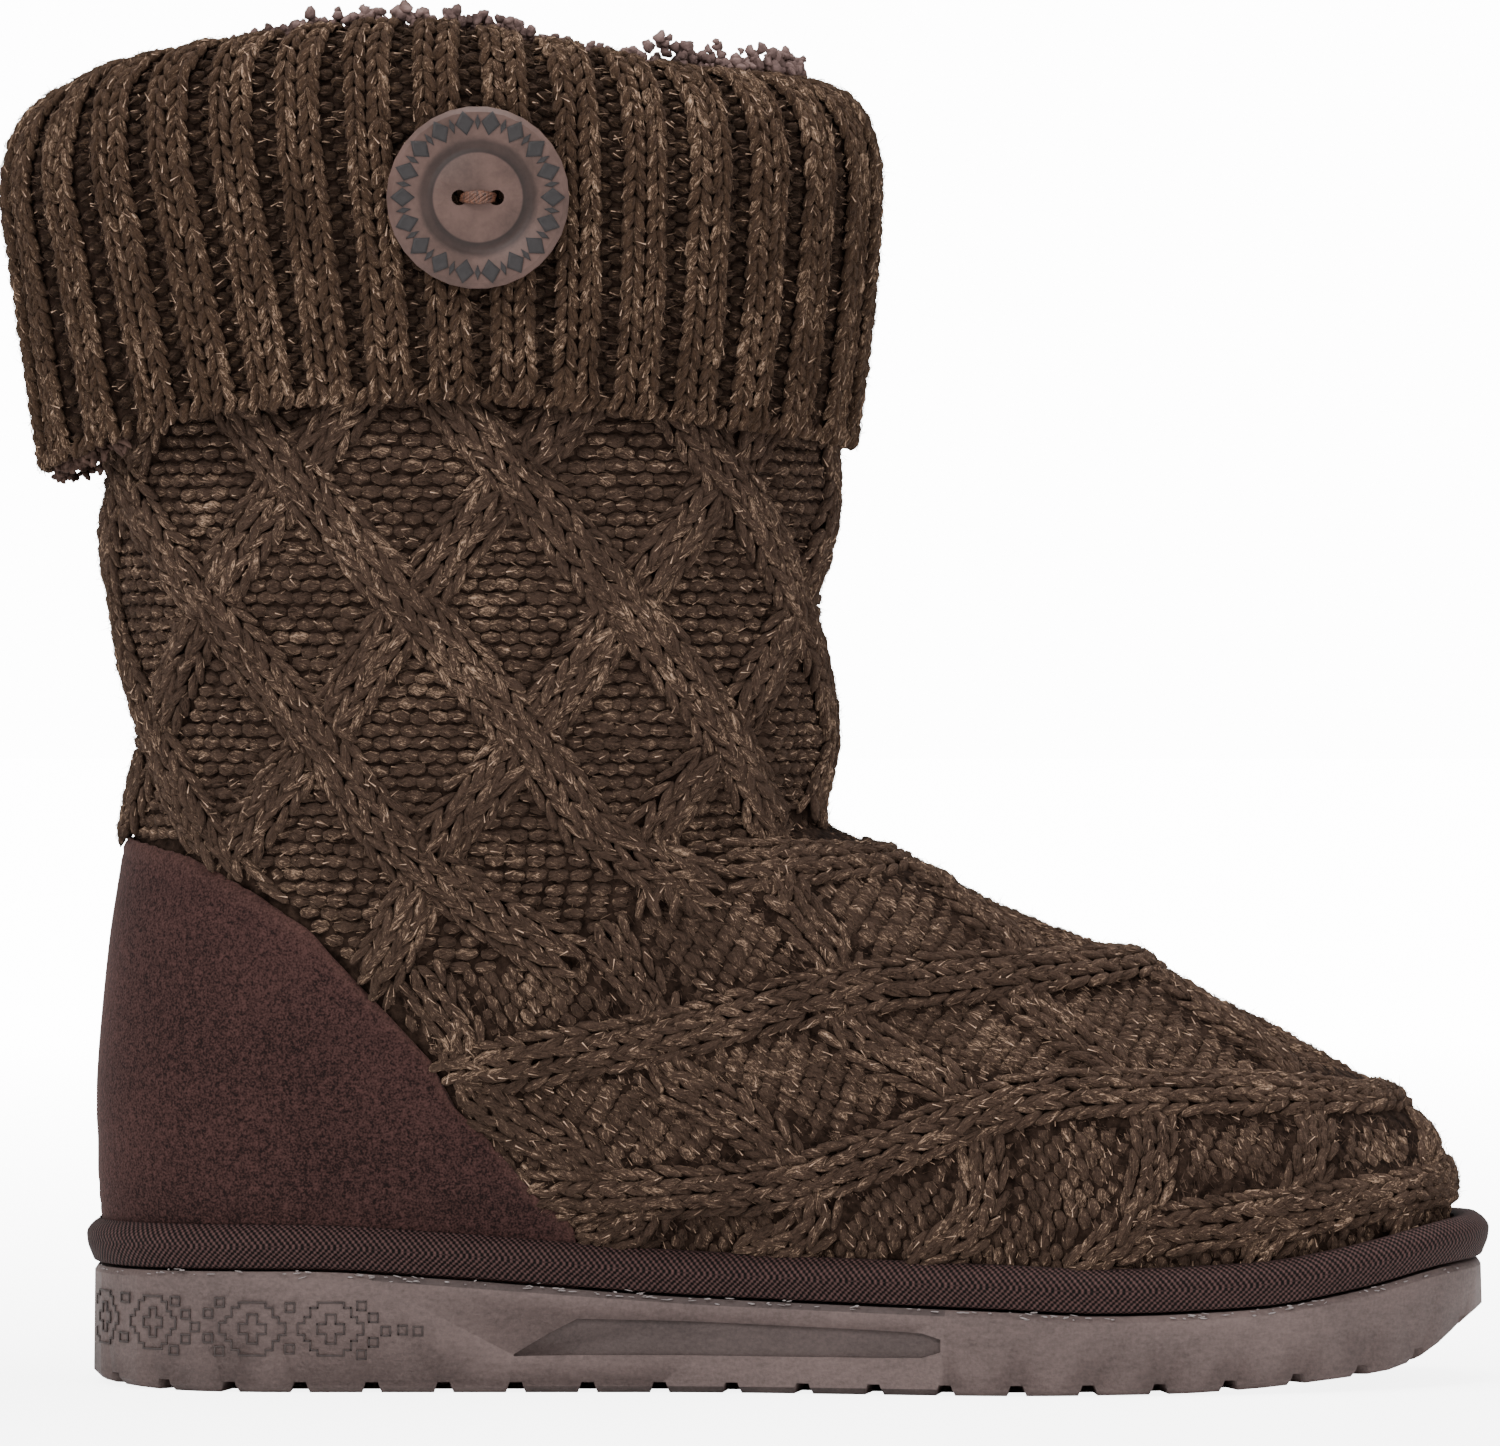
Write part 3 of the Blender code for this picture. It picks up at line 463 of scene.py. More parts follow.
class Shader:
    """One procedural material, with short names for adding and joining its nodes."""

    def __init__(self, name: str) -> None:
        """Starts the material with its shader node."""
        self.material = bpy.data.materials.new(name)
        self.material.use_nodes = True
        self.tree = self.material.node_tree
        self.surface = self.tree.nodes["Principled BSDF"]

    def add(self, kind: str, **values: object) -> bpy.types.Node:
        """Adds a node.

        Args:
            kind: The node's kind, without its family name.
            values: Inputs by name with _ for a space, or attributes of the node.

        Returns:
            The node.
        """
        node = self.tree.nodes.new("ShaderNode" + kind)
        for name, value in values.items():
            if hasattr(node, name):
                setattr(node, name, value)
            else:
                node.inputs[name.replace("_", " ")].default_value = value
        return node

    def join(self, source: bpy.types.NodeSocket, target: bpy.types.NodeSocket) -> None:
        """Links one socket to another."""
        self.tree.links.new(source, target)

    def place(self, scale: Sequence[float], attribute: str = "") -> bpy.types.NodeSocket:
        """Coordinates that follow the object, or an attribute of its mesh.

        Args:
            scale: How many pattern units to a metre, or to the attribute's unit, along each axis.
            attribute: The attribute, or nothing for the object's own place.

        Returns:
            The socket of the scaled coordinates.
        """
        if attribute:
            source = self.add("Attribute", attribute_name=attribute).outputs["Vector"]
        else:
            source = self.add("TexCoord").outputs["Object"]
        mapping = self.add("Mapping")
        mapping.inputs["Scale"].default_value = scale
        self.join(source, mapping.inputs["Vector"])
        return mapping.outputs["Vector"]

    def noise(self, scale: Sequence[float], detail: float = 2.0, rough: float = .5,
              attribute: str = "") -> bpy.types.NodeSocket:
        """A soft random pattern, as the socket of its value."""
        node = self.add("TexNoise", Scale=1.0, Detail=detail, Roughness=rough)
        self.join(self.place(scale, attribute), node.inputs["Vector"])
        return node.outputs["Fac"]

    def sums(self, *parts: tuple[bpy.types.NodeSocket, float]) -> bpy.types.NodeSocket:
        """The weighted sum of several patterns, as the socket of its value."""
        total = None
        for socket, weight in parts:
            node = self.add("Math", operation="MULTIPLY_ADD")
            node.inputs[1].default_value = weight
            node.inputs[2].default_value = 0.0
            self.join(socket, node.inputs[0])
            if total is not None:
                self.join(total, node.inputs[2])
            total = node.outputs[0]
        return total

    def ramp(self, value: bpy.types.NodeSocket,
             stops: Sequence[tuple[float, Colour]]) -> bpy.types.NodeSocket:
        """Colours along a pattern.

        Args:
            value: The pattern's socket.
            stops: Places along it, with the colour at each.

        Returns:
            The socket of the colour.
        """
        node = self.add("ValToRGB")
        bar = node.color_ramp.elements
        while len(bar) < len(stops):
            bar.new(1.0)
        for item, (place, colour) in zip(bar, stops):
            item.position, item.color = place, (*colour, 1)
        self.join(value, node.inputs["Fac"])
        return node.outputs["Color"]

    def bump(self, height: bpy.types.NodeSocket, depth: float, strength: float = 1.0) -> None:
        """Raises the surface by a pattern.

        Args:
            height: The pattern's socket.
            depth: How high it stands, in metres.
            strength: How strongly it turns the light.
        """
        node = self.add("Bump", Distance=depth, Strength=strength)
        self.join(height, node.inputs["Height"])
        before = self.surface.inputs["Normal"].links
        if before:
            self.join(before[0].from_socket, node.inputs["Normal"])
        self.join(node.outputs["Normal"], self.surface.inputs["Normal"])

    def blend(self, share: bpy.types.NodeSocket | float, first: bpy.types.NodeSocket,
              second: bpy.types.NodeSocket, way: str = "MIX") -> bpy.types.NodeSocket:
        """Two colours laid one over the other.

        Args:
            share: How much of the second shows, as a socket or a number.
            first: The socket of the colour below.
            second: The socket of the colour above.
            way: How they are laid together.

        Returns:
            The socket of the colour.
        """
        node = self.add("Mix", data_type="RGBA", blend_type=way)
        if isinstance(share, float):
            node.inputs[0].default_value = share
        else:
            self.join(share, node.inputs[0])
        self.join(first, node.inputs[6])
        self.join(second, node.inputs[7])
        return node.outputs[2]

    def dress(self, colour: bpy.types.NodeSocket, **values: object) -> bpy.types.Material:
        """Sets the colour and the even values of the shader.

        Args:
            colour: The socket of the colour.
            values: Inputs of the shader by name with _ for a space.

        Returns:
            The finished material.
        """
        self.join(colour, self.surface.inputs["Base Color"])
        for name, value in values.items():
            self.surface.inputs[name.replace("_", " ")].default_value = value
        return self.material


@dataclass(frozen=True)
class Yarn:
    """Brown heather yarn: dark wool with lighter lengths twisted in, and a soft halo."""

    name: str
    dark: Colour = (.0080, .0044, .0029)
    middle: Colour = (.052, .0315, .0228)
    pale: Colour = (.44, .290, .195)
    pale_from: float = .578

    def material(self) -> bpy.types.Material:
        """The yarn's material, which follows each strand's own length."""
        shader = Shader(self.name)
        streak = shader.noise((.55, 3.4, 41.0), 3.0, .7, "fibre")
        length = shader.noise((.11, .35, 67.0), 1.0, .5, "fibre")
        wool = shader.noise((1500, 1500, 1500), 3.0, .75)
        patch = shader.noise((70, 70, 70), 2.0)
        mix = shader.sums((streak, .40), (length, .22), (wool, .24), (patch, .14))
        pale = self.pale_from
        colour = shader.ramp(mix, ((.39, self.dark), (.49, self.middle), (pale - .04, self.middle),
                                   (pale + .045, self.pale)))
        shader.bump(shader.sums((wool, .6), (streak, .4)), .0009, 1.0)
        return shader.dress(colour, Roughness=.95, Sheen_Weight=.15, Sheen_Roughness=.6,
                            Sheen_Tint=(.40, .27, .20, 1), Specular_IOR_Level=.06)


@dataclass(frozen=True)
class Nap:
    """Short fibres, each of one brown, from nearly black to tan."""

    name: str = "nap"
    dark: Colour = (.0085, .0044, .0030)
    middle: Colour = (.056, .0350, .0258)
    pale: Colour = (.40, .265, .185)

    def material(self) -> bpy.types.Material:
        """The fibres' material."""
        shader = Shader(self.name)
        parts = shader.add("SeparateXYZ")
        shader.join(shader.add("Attribute", attribute_name="fibre").outputs["Vector"],
                    parts.inputs[0])
        colour = shader.ramp(parts.outputs["Z"], ((.05, self.dark), (.45, self.middle),
                                                  (.84, self.middle), (.97, self.pale)))
        return shader.dress(colour, Roughness=.95, Specular_IOR_Level=.05)


@dataclass(frozen=True)
class KnitGround:
    """The shaded depth of the knit between its strands."""

    name: str = "knit_ground"
    low: Colour = (.0050, .0027, .0018)
    high: Colour = (.030, .0178, .0128)

    def material(self) -> bpy.types.Material:
        """The material of the wall that carries the strands."""
        shader = Shader(self.name)
        wool = shader.noise((420, 420, 420), 4.0, .65)
        shader.bump(wool, .0012, .9)
        return shader.dress(shader.ramp(wool, ((.35, self.low), (.68, self.high))), Roughness=.95,
                            Specular_IOR_Level=.05)


@dataclass(frozen=True)
class Suede:
    """Brushed purple-brown suede, paler along its edge."""

    name: str = "suede"
    dark: Colour = (.0060, .0023, .0020)
    light: Colour = (.054, .0240, .0212)
    edge_pale: Colour = (.088, .0440, .0350)

    def material(self) -> bpy.types.Material:
        """The counter's material."""
        shader = Shader(self.name)
        nap = shader.noise((900, 900, 900), 3.0, .6)
        brushed = shader.noise((24, 24, 40), 2.0, .5)
        speck = shader.noise((2400, 2400, 2400), 1.0)
        mix = shader.sums((nap, .34), (brushed, .16), (speck, .50))
        shader.bump(shader.sums((nap, .6), (speck, .4)), .0004, .55)
        # The colour turns paler within a few millimetres of the edge.
        edge = shader.add("MapRange", From_Min=.3, From_Max=5.0, To_Min=.42, To_Max=.0)
        parts = shader.add("SeparateXYZ")
        shader.join(shader.add("Attribute", attribute_name="cloth").outputs["Vector"],
                    parts.inputs[0])
        shader.join(parts.outputs["X"], edge.inputs["Value"])
        middle = shader.ramp(mix, ((.40, self.dark), (.62, self.light)))
        rim = shader.ramp(mix, ((.38, self.light), (.64, self.edge_pale)))
        return shader.dress(shader.blend(edge.outputs["Result"], middle, rim), Roughness=.93,
                            Sheen_Weight=.15, Sheen_Roughness=.4, Sheen_Tint=(.42, .25, .23, 1),
                            Specular_IOR_Level=.15)


@dataclass(frozen=True)
class Twill:
    """Dark tape woven in slanting ribs that turn over at the middle of its width."""

    name: str = "twill_tape"
    dark: Colour = (.0012, .0005, .0004)
    light: Colour = (.088, .0455, .0420)
    middle: float = 4.4
    pitch: float = 1.25

    def material(self) -> bpy.types.Material:
        """The tape's material, which follows the tape's length and width."""
        shader = Shader(self.name)
        parts = shader.add("SeparateXYZ")
        shader.join(shader.add("Attribute", attribute_name="cloth").outputs["Vector"],
                    parts.inputs[0])
        away = shader.add("Math", operation="SUBTRACT")
        away.inputs[1].default_value = self.middle
        shader.join(parts.outputs["Y"], away.inputs[0])
        folded = shader.add("Math", operation="ABSOLUTE")
        shader.join(away.outputs[0], folded.inputs[0])
        slant = shader.sums((parts.outputs["X"], 1 / self.pitch), (folded.outputs[0], 1 / self.pitch))
        wave = shader.add("Math", operation="PINGPONG")
        wave.inputs[1].default_value = .5
        shader.join(slant, wave.inputs[0])
        weft = shader.add("Math", operation="PINGPONG")
        weft.inputs[1].default_value = .5
        across = shader.sums((folded.outputs[0], 1.15), (parts.outputs["X"], -.95))
        shader.join(across, weft.inputs[0])
        soil = shader.noise((1300, 1300, 1300), 3.0)
        mix = shader.sums((wave.outputs[0], .80), (weft.outputs[0], .52), (soil, .30))
        shader.bump(shader.sums((wave.outputs[0], 1.2), (weft.outputs[0], .5)), .00042, .9)
        return shader.dress(shader.ramp(mix, ((.36, self.dark), (.76, self.light))), Roughness=.75,
                            Specular_IOR_Level=.12)


@dataclass(frozen=True)
class FoamRubber:
    """Matt moulded foam rubber with a fine grain and faint clouds."""

    name: str = "foam_rubber"
    dark: Colour = (.060, .0405, .0370)
    light: Colour = (.124, .0870, .0800)

    def material(self) -> bpy.types.Material:
        """The sole's material."""
        shader = Shader(self.name)
        grain = shader.noise((1500, 1500, 1500), 2.0, .6)
        cloud = shader.noise((26, 40, 60), 4.0, .6)
        dust = shader.noise((520, 520, 1400), 3.0, .7)
        mix = shader.sums((grain, .28), (cloud, .44), (dust, .28))
        shader.bump(grain, .00022, .55)
        shader.bump(shader.noise((70, 70, 140), 2.0), .0006, .5)
        return shader.dress(shader.ramp(mix, ((.38, self.dark), (.62, self.light))), Roughness=.62,
                            Specular_IOR_Level=.32)


@dataclass(frozen=True)
class Fleece:
    """Curled purple-brown pile, paler at its tips."""

    name: str = "fleece"
    dark: Colour = (.020, .0110, .0098)
    light: Colour = (.105, .0640, .0575)

    def material(self) -> bpy.types.Material:
        """The lining's material."""
        shader = Shader(self.name)
        curl = shader.noise((420, 420, 420), 3.0, .6)
        clump = shader.noise((110, 110, 110), 2.0)
        shader.bump(curl, .0010, .8)
        mix = shader.sums((curl, .6), (clump, .4))
        return shader.dress(shader.ramp(mix, ((.34, self.dark), (.64, self.light))), Roughness=.95,
                            Specular_IOR_Level=.05)


@dataclass(frozen=True)
class CastResin:
    """Satin brown button resin, in shade down in the groove round its middle."""

    middle: tuple[float, float]
    name: str = "button_resin"
    dark: Colour = (.054, .0300, .0235)
    light: Colour = (.090, .0510, .0415)
    groove: tuple[float, float] = (8.7, 11.5)

    def material(self) -> bpy.types.Material:
        """The button's material."""
        shader = Shader(self.name)
        cloud = shader.noise((120, 120, 120), 3.0)
        scratch = shader.noise((900, 900, 900), 2.0, .7)
        shader.bump(scratch, .00004, .3)
        resin = shader.ramp(shader.sums((cloud, .7), (scratch, .3)),
                            ((.38, self.dark), (.62, self.light)))
        from_middle = shader.place((1000, 0, 1000))
        from_middle.node.inputs["Location"].default_value = (-self.middle[0], 0, -self.middle[1])
        away = shader.add("VectorMath", operation="LENGTH")
        shader.join(from_middle, away.inputs[0])
        start, end = (radius / 20 for radius in self.groove)
        shade = shader.ramp(shader.sums((away.outputs["Value"], 1 / 20)), (
            (start - .012, (1, 1, 1)), (start + .004, (.22, .20, .20)), (start + .05, (.38, .36, .36)),
            (end - .03, (.48, .46, .46)), (end, (.85, .85, .85)), (end + .02, (1, 1, 1))))
        return shader.dress(shader.blend(1.0, resin, shade, "MULTIPLY"), Roughness=.55,
                            Specular_IOR_Level=.30)


@dataclass(frozen=True)
class MarkAndGrooveShade:
    """A matt mark on resin or rubber: dark ink sunk in the button's rim, painted shade that stands in for
    the sole's engraved grooves, and pale specks of glue.
    """

    name: str
    colour: Colour = (.0080, .0054, .0056)
    lift: Colour = (.013, .0092, .0094)
    roughness: float = .7

    def material(self) -> bpy.types.Material:
        """The line's material."""
        shader = Shader(self.name)
        wear = shader.noise((900, 900, 900), 2.0)
        shader.bump(wear, .0001, .5)
        return shader.dress(shader.ramp(wear, ((.35, self.colour), (.7, self.lift))),
                            Roughness=self.roughness)


@dataclass
class Lay:
    """Where many like strands lie: middles, directions, outward directions, sizes and tones."""

    middle: Array
    along: Array
    out: Array
    size: Array
    tone: Array

    def __len__(self) -> int:
        """How many strands there are."""
        return len(self.middle)

    def kept(self, chosen: Array) -> "Lay":
        """Only the strands that a mask or list of places names."""
        return Lay(self.middle[chosen], self.along[chosen], self.out[chosen], self.size[chosen],
                   self.tone[chosen])

    @staticmethod
    def joined(lays: Iterable["Lay"]) -> "Lay":
        """All strands of several lays."""
        lays = [lay for lay in lays if len(lay)]
        return Lay(*[np.concatenate([getattr(lay, name) for lay in lays])
                     for name in ("middle", "along", "out", "size", "tone")])

    def jittered(self, seed: int, shift: float, turn: float) -> "Lay":
        """The same strands, each a little out of place as hand and machine leave them.

        Args:
            seed: Picks the scatter.
            shift: How far a strand may stray, in millimetres.
            turn: How far it may turn, as a share of a right angle.

        Returns:
            The scattered strands.
        """
        scatter = np.random.default_rng(seed)
        count = (len(self), 3)
        side = np.cross(self.out, self.along)
        swing = scatter.normal(0, turn, (len(self), 1))
        along = unit(self.along + side * swing + self.out * scatter.normal(0, turn / 2, (len(self), 1)))
        size = self.size * (1 + scatter.normal(0, .07, count))
        return Lay(self.middle + scatter.normal(0, shift, count), along, self.out, size,
                   scatter.random(len(self)))


@dataclass(frozen=True)
class Strand:
    """One short length of yarn with rounded ends, drawn once and laid many times."""

    sides: int = 5
    rings: int = 4
    taper: float = .18
    droop: float = .30
    bend: float = 0.0

    def shape(self) -> bmesh.types.BMesh:
        """A strand one unit long, wide and thick, along X, with its outside to +Z."""
        bm = bmesh.new()
        bmesh.ops.create_uvsphere(bm, u_segments=self.sides, v_segments=self.rings, radius=.5,
                                  matrix=Matrix.Rotation(math.pi / 2, 4, "Y"))
        for vert in bm.verts:
            x, y, z = vert.co
            narrow = 1 - self.taper * 2 * x
            vert.co = (x, y * narrow + self.bend * 4 * x * x, z * narrow - self.droop * 4 * x * x)
        return bm


@dataclass(frozen=True)
class Hair:
    """One loose fibre: a fine needle from its root."""

    def shape(self) -> bmesh.types.BMesh:
        """A hair one unit long along X, with its root at the middle."""
        bm = bmesh.new()
        bmesh.ops.create_cone(bm, cap_ends=False, segments=3, radius1=.5, radius2=0.0, depth=1.0,
                              matrix=Matrix.Rotation(math.pi / 2, 4, "Y"))
        bmesh.ops.translate(bm, vec=(.5, 0, 0), verts=bm.verts)
        bmesh.ops.remove_doubles(bm, verts=bm.verts, dist=1e-4)
        return bm


@dataclass(frozen=True)
class Blade:
    """One fibre that lies flat: a pointed sliver."""

    def shape(self) -> bmesh.types.BMesh:
        """A sliver one unit long along X and one wide, with its face to +Z."""
        bm = bmesh.new()
        bmesh.ops.create_circle(bm, cap_ends=True, segments=3, radius=.5,
                                matrix=Matrix.Rotation(-math.pi / 2, 4, "Z"))
        return bm


class Slot(Enum):
    """The record's material slots, one for each piece of the boot."""

    OUTSOLE = "outsole"
    BINDING = "binding"
    INSOLE = "insole"
    UPPER = "upper"
    HEEL_COUNTER = "heel_counter"
    CUFF = "cuff"
    BUTTON = "button"
    BUTTON_THREAD = "button_thread"


def link_piece(name: str, mesh: bpy.types.Mesh, material: bpy.types.Material,
               stands_for: Sequence[str] = (), angle: float = 180.0) -> bpy.types.Object:
    """Puts a finished mesh in the scene as a piece of the boot.

    Args:
        name: The piece's name.
        mesh: Its mesh, in metres.
        material: Its finish.
        stands_for: CAD nodes that it stands in for.
        angle: Edges sharper than this, in degrees, stay sharp.

    Returns:
        The piece.
    """
    mesh.name = name
    mesh.materials.clear()
    mesh.materials.append(material)
    mesh.shade_smooth()
    if angle < 180:
        mesh.set_sharp_from_angle(angle=math.radians(angle))
    piece = bpy.data.objects.new(name, mesh)
    bpy.context.scene.collection.objects.link(piece)
    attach(piece, "root")
    if stands_for:
        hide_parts(*stands_for)
    LOG.info("%s: %d faces", name, len(mesh.polygons))
    return piece


def repeat_shape(bm: bmesh.types.BMesh, lay: Lay) -> bpy.types.Mesh:
    """One mesh of a shape laid many times.

    Args:
        bm: The shape, one unit long, wide and thick; it is freed.
        lay: Where each copy lies.

    Returns:
        The mesh in metres, with each copy's length, girth and tone in the attribute "fibre".
    """
    bm.verts.index_update()
    verts = np.array([vert.co for vert in bm.verts])
    faces = [[vert.index for vert in face.verts] for face in bm.faces]
    bm.free()
    counts = np.array([len(face) for face in faces])
    corners = np.concatenate(faces)
    scaled = verts[None] * lay.size[:, None]
    side = np.cross(lay.out, lay.along)
    points = (lay.middle[:, None] + scaled[..., :1] * lay.along[:, None]
              + scaled[..., 1:2] * side[:, None] + scaled[..., 2:] * lay.out[:, None])
    girth = np.arctan2(verts[:, 1], verts[:, 2])
    fibre = np.stack([scaled[..., 0] + 300 * lay.tone[:, None], girth[None] * lay.size[:, 1:2] / 2,
                      np.broadcast_to(lay.tone[:, None], scaled.shape[:2])], axis=2)
    number = len(lay)
    mesh = bpy.data.meshes.new("repeat")
    mesh.vertices.add(number * len(verts))
    mesh.vertices.foreach_set("co", (points * MM).astype(np.float32).ravel())
    mesh.loops.add(number * len(corners))
    shift = np.arange(number)[:, None] * len(verts)
    mesh.loops.foreach_set("vertex_index", (corners[None] + shift).astype(np.int32).ravel())
    mesh.polygons.add(number * len(faces))
    starts = np.concatenate([[0], np.cumsum(np.tile(counts, number))[:-1]])
    mesh.polygons.foreach_set("loop_start", starts.astype(np.int32))
    layer = mesh.attributes.new("fibre", "FLOAT_VECTOR", "POINT")
    layer.data.foreach_set("vector", fibre.astype(np.float32).ravel())
    mesh.update(calc_edges=True)
    mesh.validate()
    return mesh


def lay_sheet(points: Array, cloth: Array | None = None) -> bpy.types.Mesh:
    """A sheet whose grid of points is laid where the form says, with its seams closed.

    Args:
        points: Rows of points. A closed sheet repeats its first row or column at its end.
        cloth: A vector for each point, kept as the attribute "cloth".

    Returns:
        The mesh, in metres.
    """
    rows, columns = points.shape[:2]
    bm = bmesh.new()
    bmesh.ops.create_grid(bm, x_segments=columns - 1, y_segments=rows - 1, size=1.0)
    layer = bm.verts.layers.float_vector.new("cloth") if cloth is not None else None
    for vert in bm.verts:
        j = round((vert.co.x + 1) / 2 * (columns - 1))
        i = round((vert.co.y + 1) / 2 * (rows - 1))
        vert.co = points[i, j] * MM
        if layer is not None:
            vert[layer] = cloth[i, j]
    bmesh.ops.remove_doubles(bm, verts=bm.verts, dist=2e-6)
    bmesh.ops.dissolve_degenerate(bm, edges=bm.edges, dist=1e-6)
    bmesh.ops.recalc_face_normals(bm, faces=bm.faces)
    mesh = bpy.data.meshes.new("sheet")
    bm.to_mesh(mesh)
    bm.free()
    return mesh


def closed_rows(outside: Array, inside: Array) -> Array:
    """Rows of a wall that run up its outside and down its inside, closed all round.

    Args:
        outside: Rows of the outside, from the bottom up.
        inside: Rows of the inside, from the bottom up.

    Returns:
        The rows, with the first row and the first column repeated at their ends.
    """
    rows = np.concatenate([outside, inside[::-1], outside[:1]])
    return np.concatenate([rows, rows[:, :1]], axis=1)


@dataclass
class Fabric:
    """Strands laid on a form: rows of bumps and chains of slanting legs."""

    surface: Surface

    def frames(self, row: Array, column: Array, turn: tuple[float, float], lift: Array | float,
               size: tuple[float, float, float]) -> Lay:
        """Strands at given places of the form.

        Args:
            row: The row of each strand.
            column: The column of each.
            turn: How many rows and columns the strand's direction runs.
            lift: How far it stands off the form.
            size: Its length, width and thickness.

        Returns:
            The strands.
        """
        row, column = np.asarray(row, float), np.asarray(column, float)
        reach = .06
        middle, out = self.surface.at(row, column, lift)
        ahead = self.surface.at(row + turn[0] * reach, column + turn[1] * reach)[0]
        behind = self.surface.at(row - turn[0] * reach, column - turn[1] * reach)[0]
        along = unit(ahead - behind)
        out = unit(out - along * (out * along).sum(axis=-1, keepdims=True))
        return Lay(middle, along, out, np.tile(size, (len(row), 1)), np.zeros(len(row)))

    def chain(self, row: Array, column: Array, wales: Sequence[float], pitch: float, half: float,
              rise: float, size: tuple[float, float, float], slant: float,
              level: Callable[[Array, Array], Array] | None = None) -> Lay:
        """Columns of V stitches side by side along one path.

        Args:
            row: The path's rows.
            column: The path's columns.
            wales: How far each column of stitches lies to the side of the path.
            pitch: How far apart the stitches are along it.
            half: Half the width of the raised band, which is rounded across.
            rise: How high the middle of the band stands.
            size: A leg's length, width and thickness.
            slant: How far each leg turns from the path, in radians.
            level: The share of the rise at each row and column, or nothing where it is whole.

        Returns:
            The legs.
        """
        point, _ = self.surface.at(row, column)
        length = np.concatenate([[0], np.cumsum(np.linalg.norm(np.diff(point, axis=0), axis=1))])
        lays = []
        for index, wale in enumerate(wales):
            stops = np.arange(pitch * (.3 + .37 * (index % 2)), length[-1], pitch)
            if len(stops) < 3:
                continue
            r, c = np.interp(stops, length, row), np.interp(stops, length, column)
            middle, out = self.surface.at(r, c)
            along = unit(np.gradient(middle, axis=0))
            share = np.ones(len(stops)) if level is None else level(r, c)
            for leg in (-1, 1):
                across = wale + leg * size[1] * .47
                crown = rise * math.sqrt(max(0.0, 1 - (across / half) ** 2)) - .35 * size[2]
                tilt = .75 * math.asin(max(-1.0, min(1.0, across / half))) if half < 50 else 0.0
                side = unit(np.cross(out, along))
                lean = out * math.cos(tilt) + side * math.sin(tilt)
                across_way = unit(np.cross(lean, along))
                heading = along * math.cos(slant) - across_way * math.sin(slant) * leg
                place = middle + side * across + out * (crown * share)[:, None]
                lays.append(Lay(place, unit(heading), unit(lean), np.tile(size, (len(stops), 1)),
                                np.zeros(len(stops))))
        return Lay.joined(lays) if lays else Lay(*[np.zeros((0, 3))] * 4, np.zeros(0))


